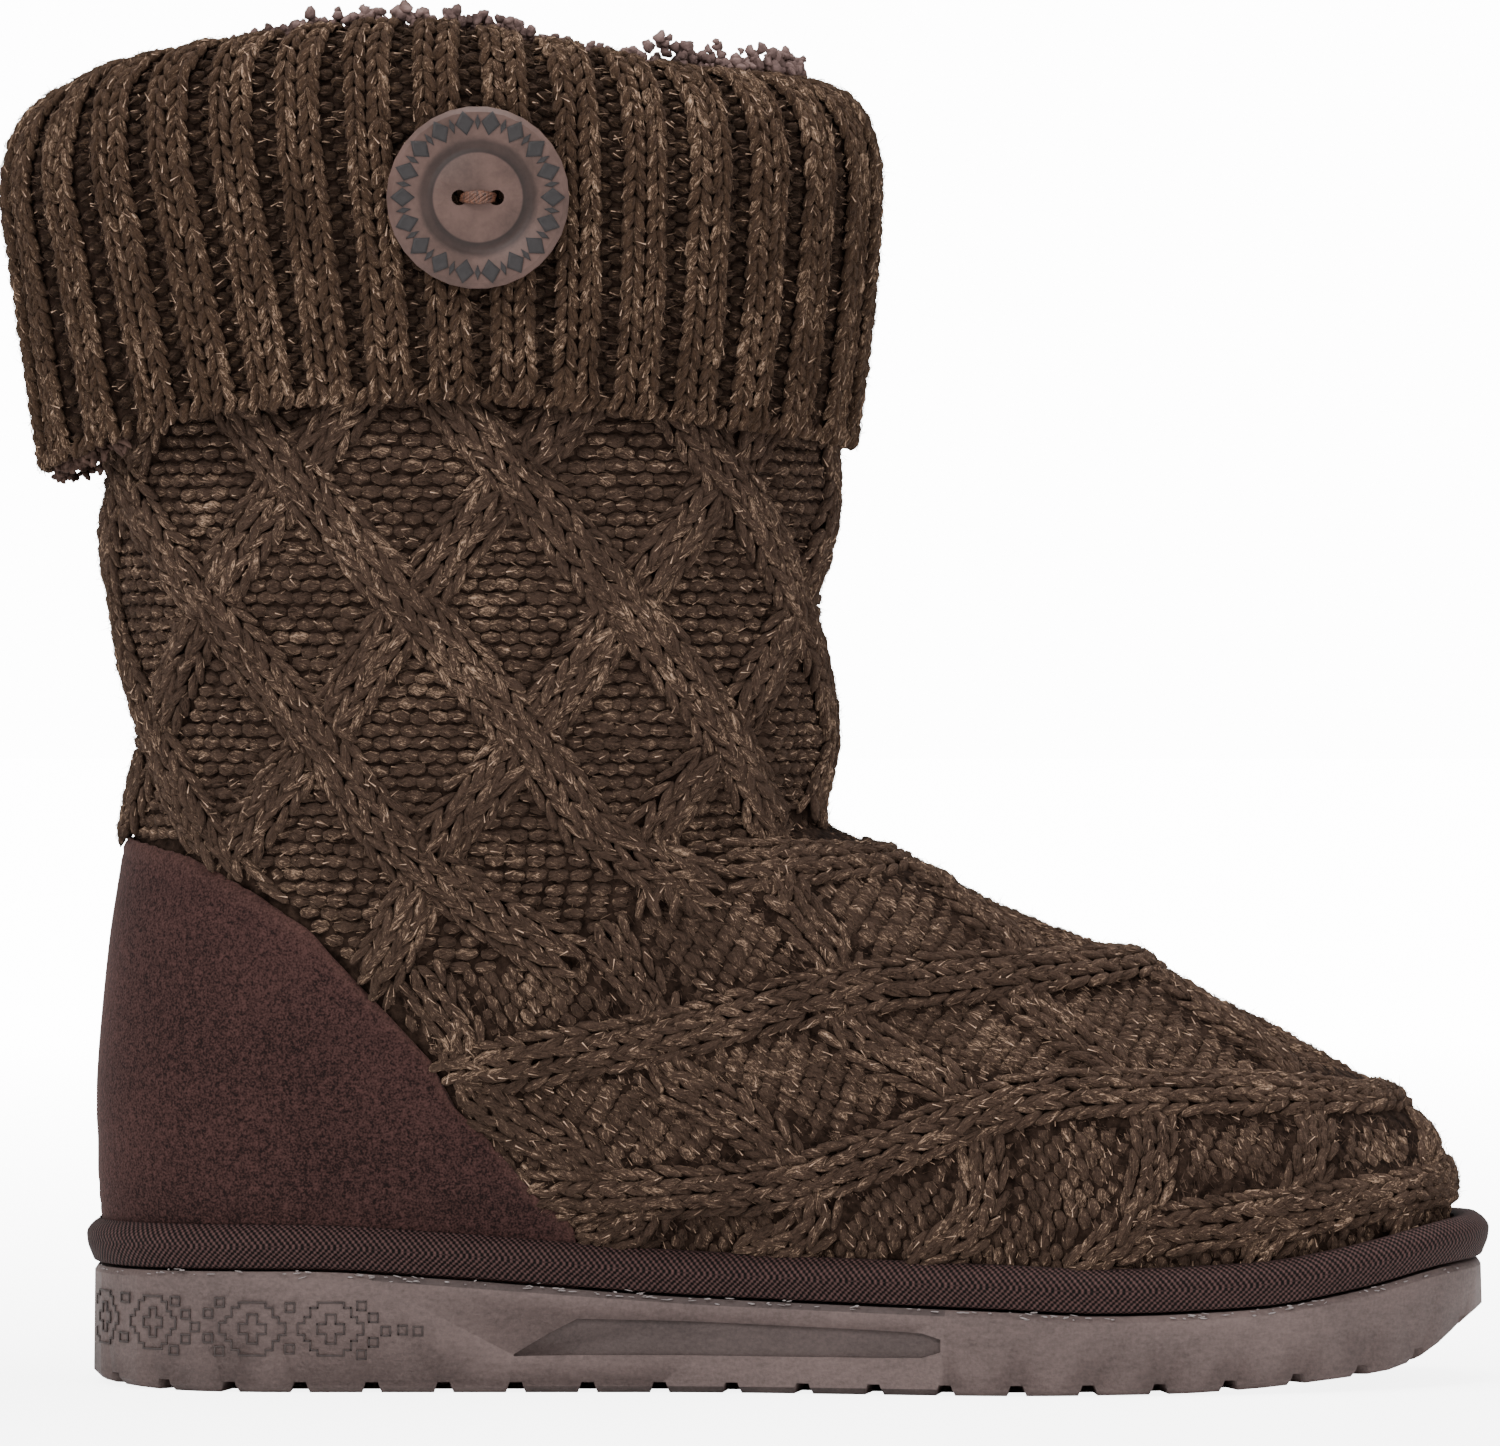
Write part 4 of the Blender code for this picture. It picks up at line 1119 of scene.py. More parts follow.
@dataclass
class UpperKnit(Fabric):
    """The knitted upper: a shaft of crossing cables and a vamp whose cables run to the toe."""

    form: BootForm = field(default_factory=BootForm)
    cable_half: float = 5.8
    cable_rise: float = 3.5
    stitch_pitch: float = 4.2
    wale: float = 14 / 3.6
    course: float = 51 / 20
    shaft_top: float = 203.0
    shaft_leg: tuple[float, float, float] = (7.4, 2.25, 2.0)
    foot_leg: tuple[float, float, float] = (7.0, 2.35, 2.1)
    purl: tuple[float, float, float] = (4.9, 2.75, 2.2)
    arc: Array = field(init=False)

    def __post_init__(self) -> None:
        """Measures each ring from the middle of the front."""
        points = self.surface.points
        step = np.linalg.norm(np.roll(points, -1, axis=1) - points, axis=2)
        total = np.concatenate([np.zeros((len(points), 1)), np.cumsum(step, axis=1)], axis=1)
        front = points.shape[1] // 2
        self.arc = total[:, :-1] - total[:, front:front + 1]

    @property
    def period(self) -> float:
        """Columns in one diamond of the lattice."""
        return float(self.form.diamond_columns)

    def to_cables(self, height: Array, column: Array) -> tuple[Array, Array]:
        """How far a place of the shaft is from the nearest cable that leans each way.

        Args:
            height: Heights over the ground.
            column: Columns of the form.

        Returns:
            Millimetres to the cables that fall to the toe, and to those that rise to it.
        """
        rise = (height - self.form.lattice_base) / self.form.diamond_height
        around = column / self.period
        square = 32.4
        falling, rising = around + rise, around - rise
        return (np.abs(falling - np.round(falling)) * square,
                np.abs(rising - np.round(rising)) * square)

    def pitch_at(self, row: Array) -> Array:
        """How far apart the vamp's crossing cables stand round the foot at a row."""
        return np.interp(row, (2, 5, 9, 13), (32.5, 34.6, 37.2, 38.0))

    def to_crossings(self, row: Array, column: Array) -> Array:
        """Millimetres from a place on the vamp to the nearest crossing cable."""
        away = np.abs(self.surface.read(self.arc, row, column))
        pitch = self.pitch_at(row)
        order = away / pitch - (13 - row) / 4
        return np.abs(order - np.round(order)) * pitch * .62

    def near_toe(self, point: Array) -> Array:
        """How far toward the top of the toe a point is, from 0 to 1."""
        return (np.clip((point[..., 0] - 196) / 26, 0, 1)
                * np.clip((point[..., 2] - 24) / 22, 0, 1))

    def ropes(self) -> list[tuple[float, float, float]]:
        """The cables that run along the foot: row, where each starts, and its rise."""
        return [(2.0, 168.0, .8), (5.0, 52.0, 1.0), (9.0, 30.0, 1.0), (13.0, 60.0, .75)]

    def on_vamp(self, row: Array, column: Array, margin: float = 0.0) -> Array:
        """Which places belong to the vamp and aren't hidden by the counter or the tape."""
        point = self.surface.at(row, column)[0]
        below = point[..., 2] < self.form.seam_height(column) - margin
        return below & (row > .85) & ~self.form.under_counter(point, -4.0)

    def on_shaft(self, height: Array, column: Array, margin: float = 0.0) -> Array:
        """Which places belong to the shaft and aren't hidden by the counter."""
        row = self.form.row_at_height(height, column)
        point = self.surface.at(row, column)[0]
        above = height > self.form.seam_height(column) + margin
        return above & ~self.form.under_counter(point, -4.0)

    def ground(self) -> bpy.types.Object:
        """The closed wall that carries the strands, from the feather edge to the collar."""
        columns = np.arange(0, self.form.columns, .3)
        outer_rows = np.concatenate([np.arange(0, 14, .3), np.arange(14, 30.01, .36), [30.0]])
        inner_rows = np.array([0, 2, 5, 9, 12, 13, 14, 15, 17, 20, 24, 28, 30.0])
        row, column = np.meshgrid(outer_rows, columns, indexing="ij")
        point = self.surface.at(row, column)[0]
        falling, rising = self.to_cables(point[..., 2], column)
        near = np.minimum(falling, rising)
        on_shaft = point[..., 2] > self.form.seam_height(columns)[None]
        crossing = self.to_crossings(row, column)
        along = np.min([np.abs(row - r) * 5 + 9 * (point[..., 0] < start)
                        for r, start, _ in self.ropes()], axis=0)
        near = np.where(on_shaft, near, np.minimum(crossing, along))
        lift = 1.5 * np.sqrt(np.clip(1 - (near / self.cable_half) ** 2, 0, 1)) - .35
        lift *= ~self.form.under_counter(point, .6) & (row > 1.3)
        lift *= np.clip((29.2 - row) / 2, 0, 1)
        lift -= 1.7 * self.near_toe(point)
        outside = self.surface.at(row, column, lift)[0]
        inside = self.surface.grid(inner_rows, columns, -self.form.knit_wall)
        mesh = lay_sheet(closed_rows(outside, inside))
        return link_piece("upper_wall", mesh, KnitGround().material(), ("upper",))

    def shaft_bumps(self) -> Lay:
        """The purl bumps inside the shaft's diamonds."""
        rows = np.arange(-10, int((self.shaft_top - self.form.lattice_base) / self.course) + 1)
        wales = np.arange(self.form.columns * 42 / self.period / self.wale)
        row, wale = np.meshgrid(rows, wales, indexing="ij")
        row, wale = row.ravel(), wale.ravel()
        column = (wale + .5 * (row % 2)) * self.wale / 42 * self.period
        height = self.form.lattice_base + (row + .5) * self.course
        falling, rising = self.to_cables(height, column)
        chosen = (np.minimum(falling, rising) > 3.9) & self.on_shaft(height, column, .8)
        height, column = height[chosen], column[chosen]
        row = self.form.row_at_height(height, column)
        return self.frames(row, column, (0, 1), .0, self.purl)

    def shaft_cables(self) -> Lay:
        """The legs of the shaft's cables, those that fall to the toe lying over the others."""
        lays = []
        height = np.arange(76.0, self.shaft_top, 1.0)
        rise = (height - self.form.lattice_base) / self.form.diamond_height
        for falls in (True, False):
            for start in range(self.form.columns // self.form.diamond_columns):
                column = (start - rise if falls else start + rise) * self.period
                shown = self.on_shaft(height, column, -1.0)
                if shown.sum() < 8:
                    continue
                row = self.form.row_at_height(height, column)
                level = None if falls else self._under
                lays.append(self.chain(row[shown], column[shown], (-3.45, 0.0, 3.45),
                                       self.stitch_pitch, self.cable_half, self.cable_rise,
                                       self.shaft_leg, .30, level))
        return Lay.joined(lays)

    def _under(self, row: Array, column: Array) -> Array:
        """How much of its rise a rising cable keeps where a falling one lies over it."""
        height = self.surface.at(row, column)[0][..., 2]
        falling, _ = self.to_cables(height, column)
        return .15 + .85 * np.clip((falling - 2.5) / 4.5, 0, 1)

    def vamp_bumps(self) -> Lay:
        """The bumps between the vamp's cables, which stand on end."""
        lays = []
        dense = np.arange(0, self.form.columns, 1 / self.form.fine)
        for low, high in ((.80, 2.0), (2.0, 5.0), (5.0, 9.0), (9.0, 13.0), (13.0, 15.0)):
            arc = self.surface.read(self.arc, (low + high) / 2, dense)
            course = self.course * .88
            count = int(min(-arc.min(), arc.max()) / course)
            rows = np.linspace(low, high, 60)
            for index in range(-count, count + 1):
                column = float(np.interp(index * course, arc, dense))
                point = self.surface.at(rows, np.full(60, column))[0]
                height = np.concatenate([[0], np.cumsum(np.linalg.norm(np.diff(point, axis=0), axis=1))])
                stops = np.arange(self.wale * (.25 + .5 * (index % 2)), height[-1], self.wale)
                if len(stops):
                    row = np.interp(stops, height, rows)
                    lays.append((row, np.full(len(row), column)))
        row = np.concatenate([item[0] for item in lays])
        column = np.concatenate([item[1] for item in lays])
        point = self.surface.at(row, column)[0]
        far = np.ones(len(row), bool)
        for rope, start, _ in self.ropes():
            middle = self.surface.at(np.full(len(row), rope), column)[0]
            gap = np.linalg.norm(middle - point, axis=1)
            far &= (gap > 3.4) | (middle[:, 0] < start)
        far &= (self.to_crossings(row, column) > 2.7) & self.on_vamp(row, column, .4)
        length, width, thick = self.purl
        return self.frames(row[far], column[far], (1, 0), .0, (length, width * 1.02, thick))

    def vamp_ropes(self) -> Lay:
        """The legs of the cables that run along the foot."""
        lays = []
        columns = np.arange(0, self.form.columns, .1)
        for row, start, share in self.ropes():
            rows = np.full(len(columns), row)
            point = self.surface.at(rows, columns)[0]
            shown = (point[:, 0] > start) & ~self.form.under_counter(point, -4.0)
            if row > 10:
                shown &= point[:, 2] < self.form.seam_height(columns) + 2
            if shown.sum() < 10:
                continue
            lays.append(self.chain(rows[shown], columns[shown], (-3.2, 0.0, 3.2),
                                   self.stitch_pitch, self.cable_half, self.cable_rise * share,
                                   self.foot_leg, .30, lambda r, c, start=start: self._grown(r, c, start)))
        return Lay.joined(lays)

    def _grown(self, row: Array, column: Array, start: float) -> Array:
        """How much of its rise a rope has reached near the place where it starts."""
        return .15 + .85 * np.clip((self.surface.at(row, column)[0][..., 0] - start) / 16, 0, 1)

    def vamp_crossings(self) -> Lay:
        """The legs of the lower cables that cross the vamp from rope to rope."""
        lays = []
        dense = np.arange(0, self.form.columns, 1 / self.form.fine)
        rows = np.arange(.9, 14.5, .08)
        rings = [self.surface.read(self.arc, row, dense) for row in rows]
        for side in (-1, 1):
            for order in range(-3, 7):
                away = self.pitch_at(rows) * (order + (13 - rows) / 4)
                column = np.array([np.interp(side * a, ring, dense) for a, ring in zip(away, rings)])
                shown = (away > 0) & self.on_vamp(rows, column, -2.0)
                if shown.sum() < 12:
                    continue
                lays.append(self.chain(rows[shown][::-1], column[shown][::-1], (-2.7, 0.0, 2.7),
                                       self.stitch_pitch, self.cable_half, self.cable_rise * .78,
                                       self.foot_leg, .28, self._under_rope))
        return Lay.joined(lays)

    def _under_rope(self, row: Array, column: Array) -> Array:
        """How much of its rise a crossing cable keeps near the ropes that lie over it."""
        point = self.surface.at(row, column)[0]
        gap = np.min([np.abs(row - rope) * 4.5 + 20 * (point[..., 0] < start)
                      for rope, start, _ in self.ropes()], axis=0)
        return .35 + .65 * np.clip((gap - 1) / 4, 0, 1)

    def build(self) -> list[Lay]:
        """Makes the upper's pieces.

        Returns:
            The strands that loose fibres stand on.
        """
        self.ground()
        yarn = Yarn("yarn_upper").material()
        bump = Strand(taper=.0, droop=.42, bend=.10)
        leg = Strand(taper=.16, droop=.20)
        lays = []
        for name, shape, made in (("shaft_purl", bump, [self.shaft_bumps()]),
                                  ("shaft_cables", leg, [self.shaft_cables()]),
                                  ("vamp_purl", bump, [self.vamp_bumps()]),
                                  ("vamp_cables", leg, [self.vamp_ropes(), self.vamp_crossings()])):
            lay = Lay.joined(made).jittered(len(name), .16, .07)
            lay = lay.kept(~self.form.under_counter(lay.middle, .9))
            lay.middle -= lay.out * 1.9 * self.near_toe(lay.middle)[:, None]
            link_piece(name, repeat_shape(shape.shape(), lay), yarn)
            lays.append(lay)
        return lays


@dataclass
class Cuff(Fabric):
    """The ribbed cuff: two raised chains and two sunk ones, folded out over the collar."""

    form: BootForm = field(default_factory=BootForm)
    wall: float = 3.6
    pitch: float = 3.1
    leg: tuple[float, float, float] = (5.2, 2.25, 1.9)
    purl: tuple[float, float, float] = (4.0, 2.3, 1.8)
    edge: tuple[float, float, float] = (4.4, 2.3, 2.1)
    chain_apart: float = 2.35
    lean_by_x: tuple[tuple[float, float], ...] = ((-60, 0), (-50, 3), (-36, 9), (-15, 8), (0, 6),
                                                  (40, 2), (75, -1), (110, -3), (125, 0))

    def leaned(self, rib: float | Array, row: Array) -> Array:
        """The column of a rib at each row, with the lean that the fold gives it.

        Args:
            rib: The rib, counted round from the back.
            row: The rows.

        Returns:
            The columns.
        """
        column = np.broadcast_to(np.asarray(rib, float) * 3, row.shape)
        x = self.surface.at(np.full(row.shape, 2.0), column)[0][..., 0]
        places, leans = zip(*self.lean_by_x)
        turn = np.interp(x, places, leans) * np.clip(1 - row / 3.5, 0, 1)
        side = np.where(column < 1.5 * self.form.rib_count, 1, -1)
        return column + side * turn * 3 / 14.1

    def ground(self) -> bpy.types.Object:
        """The cuff's closed wall with its ribs, and its leg inside the collar."""
        columns = np.arange(0, self.form.rib_count, 1 / 8)
        rows = np.concatenate([np.arange(0, 3, .1), np.arange(3, 6, .12), np.arange(6, 8.01, .4)])
        row, rib = np.meshgrid(rows, columns, indexing="ij")
        column = self.leaned(rib, row)
        wave = .5 + .5 * np.cos(2 * math.pi * rib)
        ribbed = np.clip((6.2 - row) / 1.5, 0, 1)
        outside = self.surface.at(row, column, (-self.form.rib_rise * wave ** .8 - .5) * ribbed)[0]
        deep = self.wall + self.form.rib_rise
        inner = np.array([0, .5, 1, 2, 3, 4, 5, 6, 7, 8])
        depth = np.array([.55, .7, .85, 1, .8, .72, .72, .76, .7, .7]) * deep
        row, rib = np.meshgrid(inner, columns, indexing="ij")
        inside = self.surface.at(row, self.leaned(rib, row), -depth[:, None])[0]
        mesh = lay_sheet(closed_rows(outside, inside))
        return link_piece("cuff_wall", mesh, KnitGround("cuff_ground").material(), ("cuff",))

    def chains(self) -> Lay:
        """The legs of the raised chains, two to a rib."""
        rows = np.arange(.04, 6.3, .06)
        lays = []
        for rib in range(self.form.rib_count):
            column = self.leaned(rib + .5, rows)
            for side in (-1, 1):
                lays.append(self.chain(rows, column, (side * self.chain_apart,), self.pitch, 5.2,
                                       .95, self.leg, .36))
        return Lay.joined(lays)

    def cast_off(self) -> Lay:
        """The loops that close the hem."""
        column = np.arange(0, 3 * self.form.rib_count, .62)
        rib = self.leaned(column / 3, np.zeros(len(column)))
        wave = .5 + .5 * np.cos(2 * math.pi * column / 3)
        lay = self.frames(np.full(len(column), .02), rib, (.3, 1), .35 - 1.1 * wave, self.edge)
        lay.middle[:, 2] -= .35
        return lay

    def valleys(self) -> Lay:
        """The bumps of the sunk chains between the ribs."""
        rows = np.arange(.04, 6.3, .02)
        mean = self.surface.at(rows, np.full(len(rows), 30.0))[0]
        height = np.concatenate([[0], np.cumsum(np.linalg.norm(np.diff(mean, axis=0), axis=1))])
        lays = []
        for rib in range(self.form.rib_count):
            for side in (-1, 1):
                stops = np.arange(self.pitch * (.5 + .25 * side), height[-1], self.pitch)
                row = np.interp(stops, height, rows)
                column = self.leaned(rib + side * .115, row)
                lays.append(self.frames(row, column, (0, 1), -1.5, self.purl))
        return Lay.joined(lays)

    def build(self) -> list[Lay]:
        """Makes the cuff's pieces.

        Returns:
            The strands that loose fibres stand on.
        """
        self.ground()
        yarn = Yarn("yarn_cuff", dark=(.0075, .0036, .0020), middle=(.047, .0270, .0170)).material()
        # The valleys' yarn is a darker copy of the cuff's yarn: painted shade between the ribs.
        sunk = Yarn("yarn_valley_painted_shade", dark=(.0040, .0018, .0010), middle=(.018, .0100, .0062),
                    pale=(.12, .072, .044)).material()
        bump = Strand(sides=4, taper=0, droop=.35, bend=.10)
        leg = Strand(taper=.20, droop=.25)
        lays = []
        for name, shape, made, finish in (("cuff_chains", leg, self.chains(), yarn),
                                          ("cuff_edge", leg, self.cast_off(), yarn),
                                          ("cuff_valleys", bump, self.valleys(), sunk)):
            lay = made.jittered(len(name), .10, .05)
            link_piece(name, repeat_shape(shape.shape(), lay), finish)
            lays.append(lay)
        return lays


@dataclass
class Halo:
    """Loose fibres that stand off the yarn."""

    count: int = 22000
    flat: int = 100000
    longest: float = 3.2
    thick: float = .11

    def build(self, lays: Sequence[Lay]) -> None:
        """Makes the fibres.

        Args:
            lays: The strands that they stand on.
        """
        scatter = np.random.default_rng(23)
        every = Lay.joined(lays)
        chosen = every.kept(scatter.integers(0, len(every), self.count))
        side = np.cross(chosen.out, chosen.along)
        swing = scatter.normal(0, 1, (self.count, 3))
        heading = unit(chosen.along * swing[:, :1] + side * .8 * swing[:, 1:2]
                       + chosen.out * np.abs(swing[:, 2:]) * .55)
        root = (chosen.middle + chosen.out * chosen.size[:, 2:] * .40
                + chosen.along * chosen.size[:, :1] * scatter.uniform(-.35, .35, (self.count, 1))
                + side * chosen.size[:, 1:2] * scatter.uniform(-.35, .35, (self.count, 1)))
        length = 1.0 + (self.longest - 1.0) * scatter.random(self.count) ** 2
        out = unit(np.cross(heading, side + .3 * chosen.along))
        size = np.stack([length, np.full(self.count, self.thick), np.full(self.count, self.thick)], 1)
        lay = Lay(root, heading, out, size, scatter.random(self.count))
        yarn = Yarn("yarn_halo", dark=(.020, .0110, .0070), middle=(.075, .0450, .0300)).material()
        link_piece("yarn_halo", repeat_shape(Hair().shape(), lay), yarn)
        link_piece("yarn_nap", repeat_shape(Blade().shape(), self.nap(every)), Nap().material())

    def nap(self, every: Lay) -> Lay:
        """The short fibres that lie on the yarn and blur its strands.

        Args:
            every: The strands that they lie on.

        Returns:
            The fibres.
        """
        scatter = np.random.default_rng(29)
        on = every.kept(scatter.integers(0, len(every), self.flat))
        side = np.cross(on.out, on.along)
        turn = scatter.uniform(-1.15, 1.15, (self.flat, 1))
        up = unit(on.out * np.cos(turn) + side * np.sin(turn))
        across = np.cross(up, on.along)
        swing = scatter.normal(0, .38, (self.flat, 1))
        heading = unit(on.along * np.cos(swing) + across * np.sin(swing)
                       + up * scatter.normal(.03, .16, (self.flat, 1)))
        place = (on.middle + on.out * np.cos(turn) * on.size[:, 2:] * .50
                 + side * np.sin(turn) * on.size[:, 1:2] * .50
                 + on.along * on.size[:, :1] * scatter.uniform(-.36, .30, (self.flat, 1)))
        size = np.stack([scatter.uniform(1.2, 3.4, self.flat), scatter.uniform(.16, .34, self.flat),
                         np.ones(self.flat)], axis=1)
        return Lay(place, heading, unit(up - heading * (up * heading).sum(axis=1, keepdims=True)),
                   size, scatter.random(self.flat))


@dataclass
class Counter:
    """The suede panel that cups the heel, turned in at its edge."""

    form: BootForm
    reach: int = 16
    lift: float = 1.85
    thick: float = 1.35
    turn: float = 2.2

    def build(self) -> None:
        """Makes the panel."""
        surface = self.form.wall
        columns = np.linspace(-self.reach, self.reach, 141)
        rows = np.arange(0, 20, .04)
        tops = []
        for column in columns:
            point = surface.at(rows, np.full(len(rows), column))[0]
            inside = inside_outline(point[:, 0], point[:, 2], self.form.counter_edge())
            tops.append(rows[inside].max() if inside.any() else 0.0)
        tops = np.array(tops)
        shown = tops > 0
        columns, tops = columns[shown], tops[shown]
        share = np.concatenate([np.linspace(0, .94, 56), np.linspace(.945, 1, 9)])
        row = share[:, None] * tops[None]
        column = np.broadcast_to(columns, row.shape)
        point = surface.at(row, column)[0]
        edge = point[-1]
        gap = np.linalg.norm(point - edge[None], axis=2)
        gap = np.minimum(gap, np.linalg.norm(point - point[:, :1], axis=2))
        gap = np.minimum(gap, np.linalg.norm(point - point[:, -1:], axis=2))
        gap = np.where(share[:, None] < .15, 9, gap)
        sunk = np.clip(1 - gap / self.turn, 0, 1) ** 2
        stitch = .22 * np.exp(-((gap - 3.4) / .5) ** 2)
        outside = surface.at(row, column, self.lift - .9 * sunk - stitch)[0]
        inside = surface.at(row, column, self.lift - self.thick)[0]
        wall = np.concatenate([outside, inside[::-1], outside[:1]])
        edge_distance = np.concatenate([gap, gap[::-1], gap[:1]])[..., None] * np.array((1, 0, 0))
        bm_mesh = lay_sheet(wall, edge_distance)
        bm = bmesh.new()
        bm.from_mesh(bm_mesh)
        bmesh.ops.holes_fill(bm, edges=[edge for edge in bm.edges if edge.is_boundary])
        bmesh.ops.recalc_face_normals(bm, faces=bm.faces)
        bm.to_mesh(bm_mesh)
        bm.free()
        link_piece("heel_suede", bm_mesh, Suede().material(), ("heel_counter",), 50)


@dataclass
class Binding:
    """The twill tape rolled round the boot between the sole and the knit."""

    form: BootForm
    bulge: float = 1.3
    count: int = 960

    def build(self) -> None:
        """Makes the tape."""
        form = self.form
        outline = form.ring(SOLE_SECTION, self.count, form.crowding)
        tangent = np.roll(outline, -1, axis=0) - np.roll(outline, 1, axis=0)
        out = unit(np.stack([tangent[:, 1], -tangent[:, 0], np.zeros(self.count)], axis=1))
        floor = form.sole_height(SOLE_TOP, outline[:, 0]) + form.seat_gap
        columns = np.arange(self.count) * form.columns / self.count
        inner_low = form.wall.at(np.zeros(self.count), columns, .4)[0]
        inner_high = form.wall.at(np.ones(self.count), columns, .4)[0]
        covered = inner_low[:, 0] < form.along(COUNTER_END) + 3
        extra = np.where(covered, 1.9, 0.0)[:, None]
        inner_low, inner_high = inner_low + out * extra, inner_high + out * extra
        inner_low[:, 2] = form.sole_height(SOLE_TOP, inner_low[:, 0]) + form.seat_gap
        inner_high[:, 2] -= .2
        profile = [(1.0, .02, 0.0), (.2, .06, .7), (-.30 * self.bulge, .22, 1.8),
                   (-self.bulge * .85, .46, 3.8), (-self.bulge, .70, 5.4), (-.2, .92, 7.0),
                   (1.2, 1.04, 8.4)]
        places = np.linspace(0, len(profile) - 1, 19)
        table = smooth_through(np.arange(len(profile)), np.array(profile), places)
        rows, cloth = [inner_low], [np.stack([np.zeros(self.count)] * 3, 1)]
        length = np.concatenate([[0], np.cumsum(np.linalg.norm(np.diff(outline, axis=0), axis=1))])
        for inset, share, width in table:
            points = outline - out * inset
            points[:, 2] = floor + share * form.binding_height
            rows.append(points)
            cloth.append(np.stack([length, np.full(self.count, width), np.zeros(self.count)], 1))
        crown = .5 * (rows[-1] + inner_high) + np.array((0, 0, .35))
        rows += [crown, inner_high, inner_low]
        cloth += [cloth[-1] + np.array((0, 1.2, 0)), cloth[-1] + np.array((0, 2.4, 0)), cloth[0]]
        points, field_ = np.array(rows), np.array(cloth)
        points = np.concatenate([points, points[:, :1]], axis=1)
        field_ = np.concatenate([field_, field_[:, :1]], axis=1)
        link_piece("tape", lay_sheet(points, field_), Twill().material(), ("binding",), 75)


def merged_copy(node: str) -> bmesh.types.BMesh:
    """A CAD node's shape as one joined mesh, in metres."""
    bm = bmesh.new()
    bm.from_mesh(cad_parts[node].data)
    bmesh.ops.remove_doubles(bm, verts=bm.verts, dist=1e-6)
    return bm


@dataclass
class Outsole:
    """The moulded sole, with its cut edge, its charted crosses and specks of glue."""

    form: BootForm
    line: float = .34
    proud: float = .07
    specks: int = 150

    def side_point(self, x: Array, z: Array, lift: float) -> tuple[Array, Array]:
        """Places on the sole's outer side, and its outward directions there."""
        outline = self.form.ring(SOLE_SECTION, 800)[:401]
        y = np.interp(x, outline[:, 0], outline[:, 1])
        slope = np.gradient(outline[:, 1], outline[:, 0])
        turn = np.interp(x, outline[:, 0], slope)
        out = unit(np.stack([turn, -np.ones_like(turn), np.zeros_like(turn)], axis=-1))
        return np.stack([x, y, z], axis=-1) + out * lift, out

    def chart(self) -> list[tuple[float, float, float, float]]:
        """The lines of the stepped crosses and squares: both ends of each, along and up."""
        lines = []
        for cx, cz, half in ((-31.9, 13.5, 2.9), (-21.8, 13.2, 4.6), (-2.0, 12.4, 6.5),
                             (13.3, 12.4, 6.4)):
            for wide, tall, steps in ((1, 1, ((.40, 1), (.40, .80), (.62, .80), (.62, .45), (.80, .45),
                                              (.80, .22), (1, .22))),
                                      (.41, .55, ((.36, 1), (.36, .34), (1, .34)))):
                corner = [(a * half * wide, b * 5.15 * tall) for a, b in steps]
                loop = (corner + [(x, -z) for x, z in corner[::-1]]
                        + [(-x, -z) for x, z in corner] + [(-x, z) for x, z in corner[::-1]])
                for (x0, z0), (x1, z1) in zip(loop, loop[1:] + loop[:1]):
                    lines.append((cx + x0, cz + z0, cx + x1, cz + z1))
        squares = ((-27.5, 17.7), (-27.8, 9.9), (-17.3, 17.5), (-15.2, 15.0), (-13.3, 12.6),
                   (-15.2, 10.2), (-17.5, 7.9), (-10.7, 15.3), (-8.4, 17.5), (-10.7, 10.5),
                   (-8.5, 8.0), (5.4, 16.6), (5.3, 8.5), (19.3, 16.9), (21.6, 14.6), (24.0, 12.0),
                   (21.6, 9.8), (19.3, 7.4), (27.3, 12.2), (30.3, 12.0))
        for cx, cz in squares:
            loop = [(-.85, -.85), (.85, -.85), (.85, .85), (-.85, .85)]
            for (x0, z0), (x1, z1) in zip(loop, loop[1:] + loop[:1]):
                lines.append((cx + x0, cz + z0, cx + x1, cz + z1))
        return lines

    def engrave(self) -> None:
        """Draws the chart as fine lines round the heel's outer side, dark with painted shade for the
        engraved grooves.
        """
        lines = np.array([line for line in self.chart() if min(line[0], line[2]) > -34.2])
        middle_x, middle_z = lines[:, [0, 2]].mean(axis=1), lines[:, [1, 3]].mean(axis=1)
        place, out = self.side_point(middle_x, middle_z, self.proud - .12)
        ends = [self.side_point(lines[:, i], lines[:, i + 1], 0)[0] for i in (0, 2)]
        along = unit(ends[1] - ends[0])
        length = np.linalg.norm(ends[1] - ends[0], axis=1) + self.line
        size = np.stack([length, np.full(len(lines), self.line), np.full(len(lines), .24)], axis=1)
        bm = bmesh.new()
        bmesh.ops.create_cube(bm, size=1.0)
        lay = Lay(place, along, out, size, np.zeros(len(lines)))
        # The lines' dark colour is painted shade, standing in for the depth of the engraved grooves.
        finish = MarkAndGrooveShade("sole_groove_shade", (.030, .0200, .0182), (.046, .0315, .0285), .8).material()
        link_piece("sole_crosses", repeat_shape(bm, lay), finish)

    def glue(self) -> None:
        """Scatters dried specks of glue where the tape meets the sole."""
        scatter = np.random.default_rng(5)
        x = scatter.uniform(-33, 234, self.specks)
        z = self.form.sole_height(SOLE_TOP, x) + scatter.normal(-.25, .35, self.specks)
        place, out = self.side_point(x, z, -.12)
        size = np.stack([scatter.uniform(.4, 2.0, self.specks), scatter.uniform(.15, .4, self.specks),
                         np.full(self.specks, .3)], axis=1)
        along = unit(np.cross(out, np.array((0, 0, 1.0))) + scatter.normal(0, .15, (self.specks, 3)))
        lay = Lay(place, along, out, size, np.zeros(self.specks))
        finish = MarkAndGrooveShade("dried_glue", (.16, .132, .128), (.27, .235, .23), .5).material()
        link_piece("glue_specks", repeat_shape(Strand(5, 4, 0, 0).shape(), lay), finish)

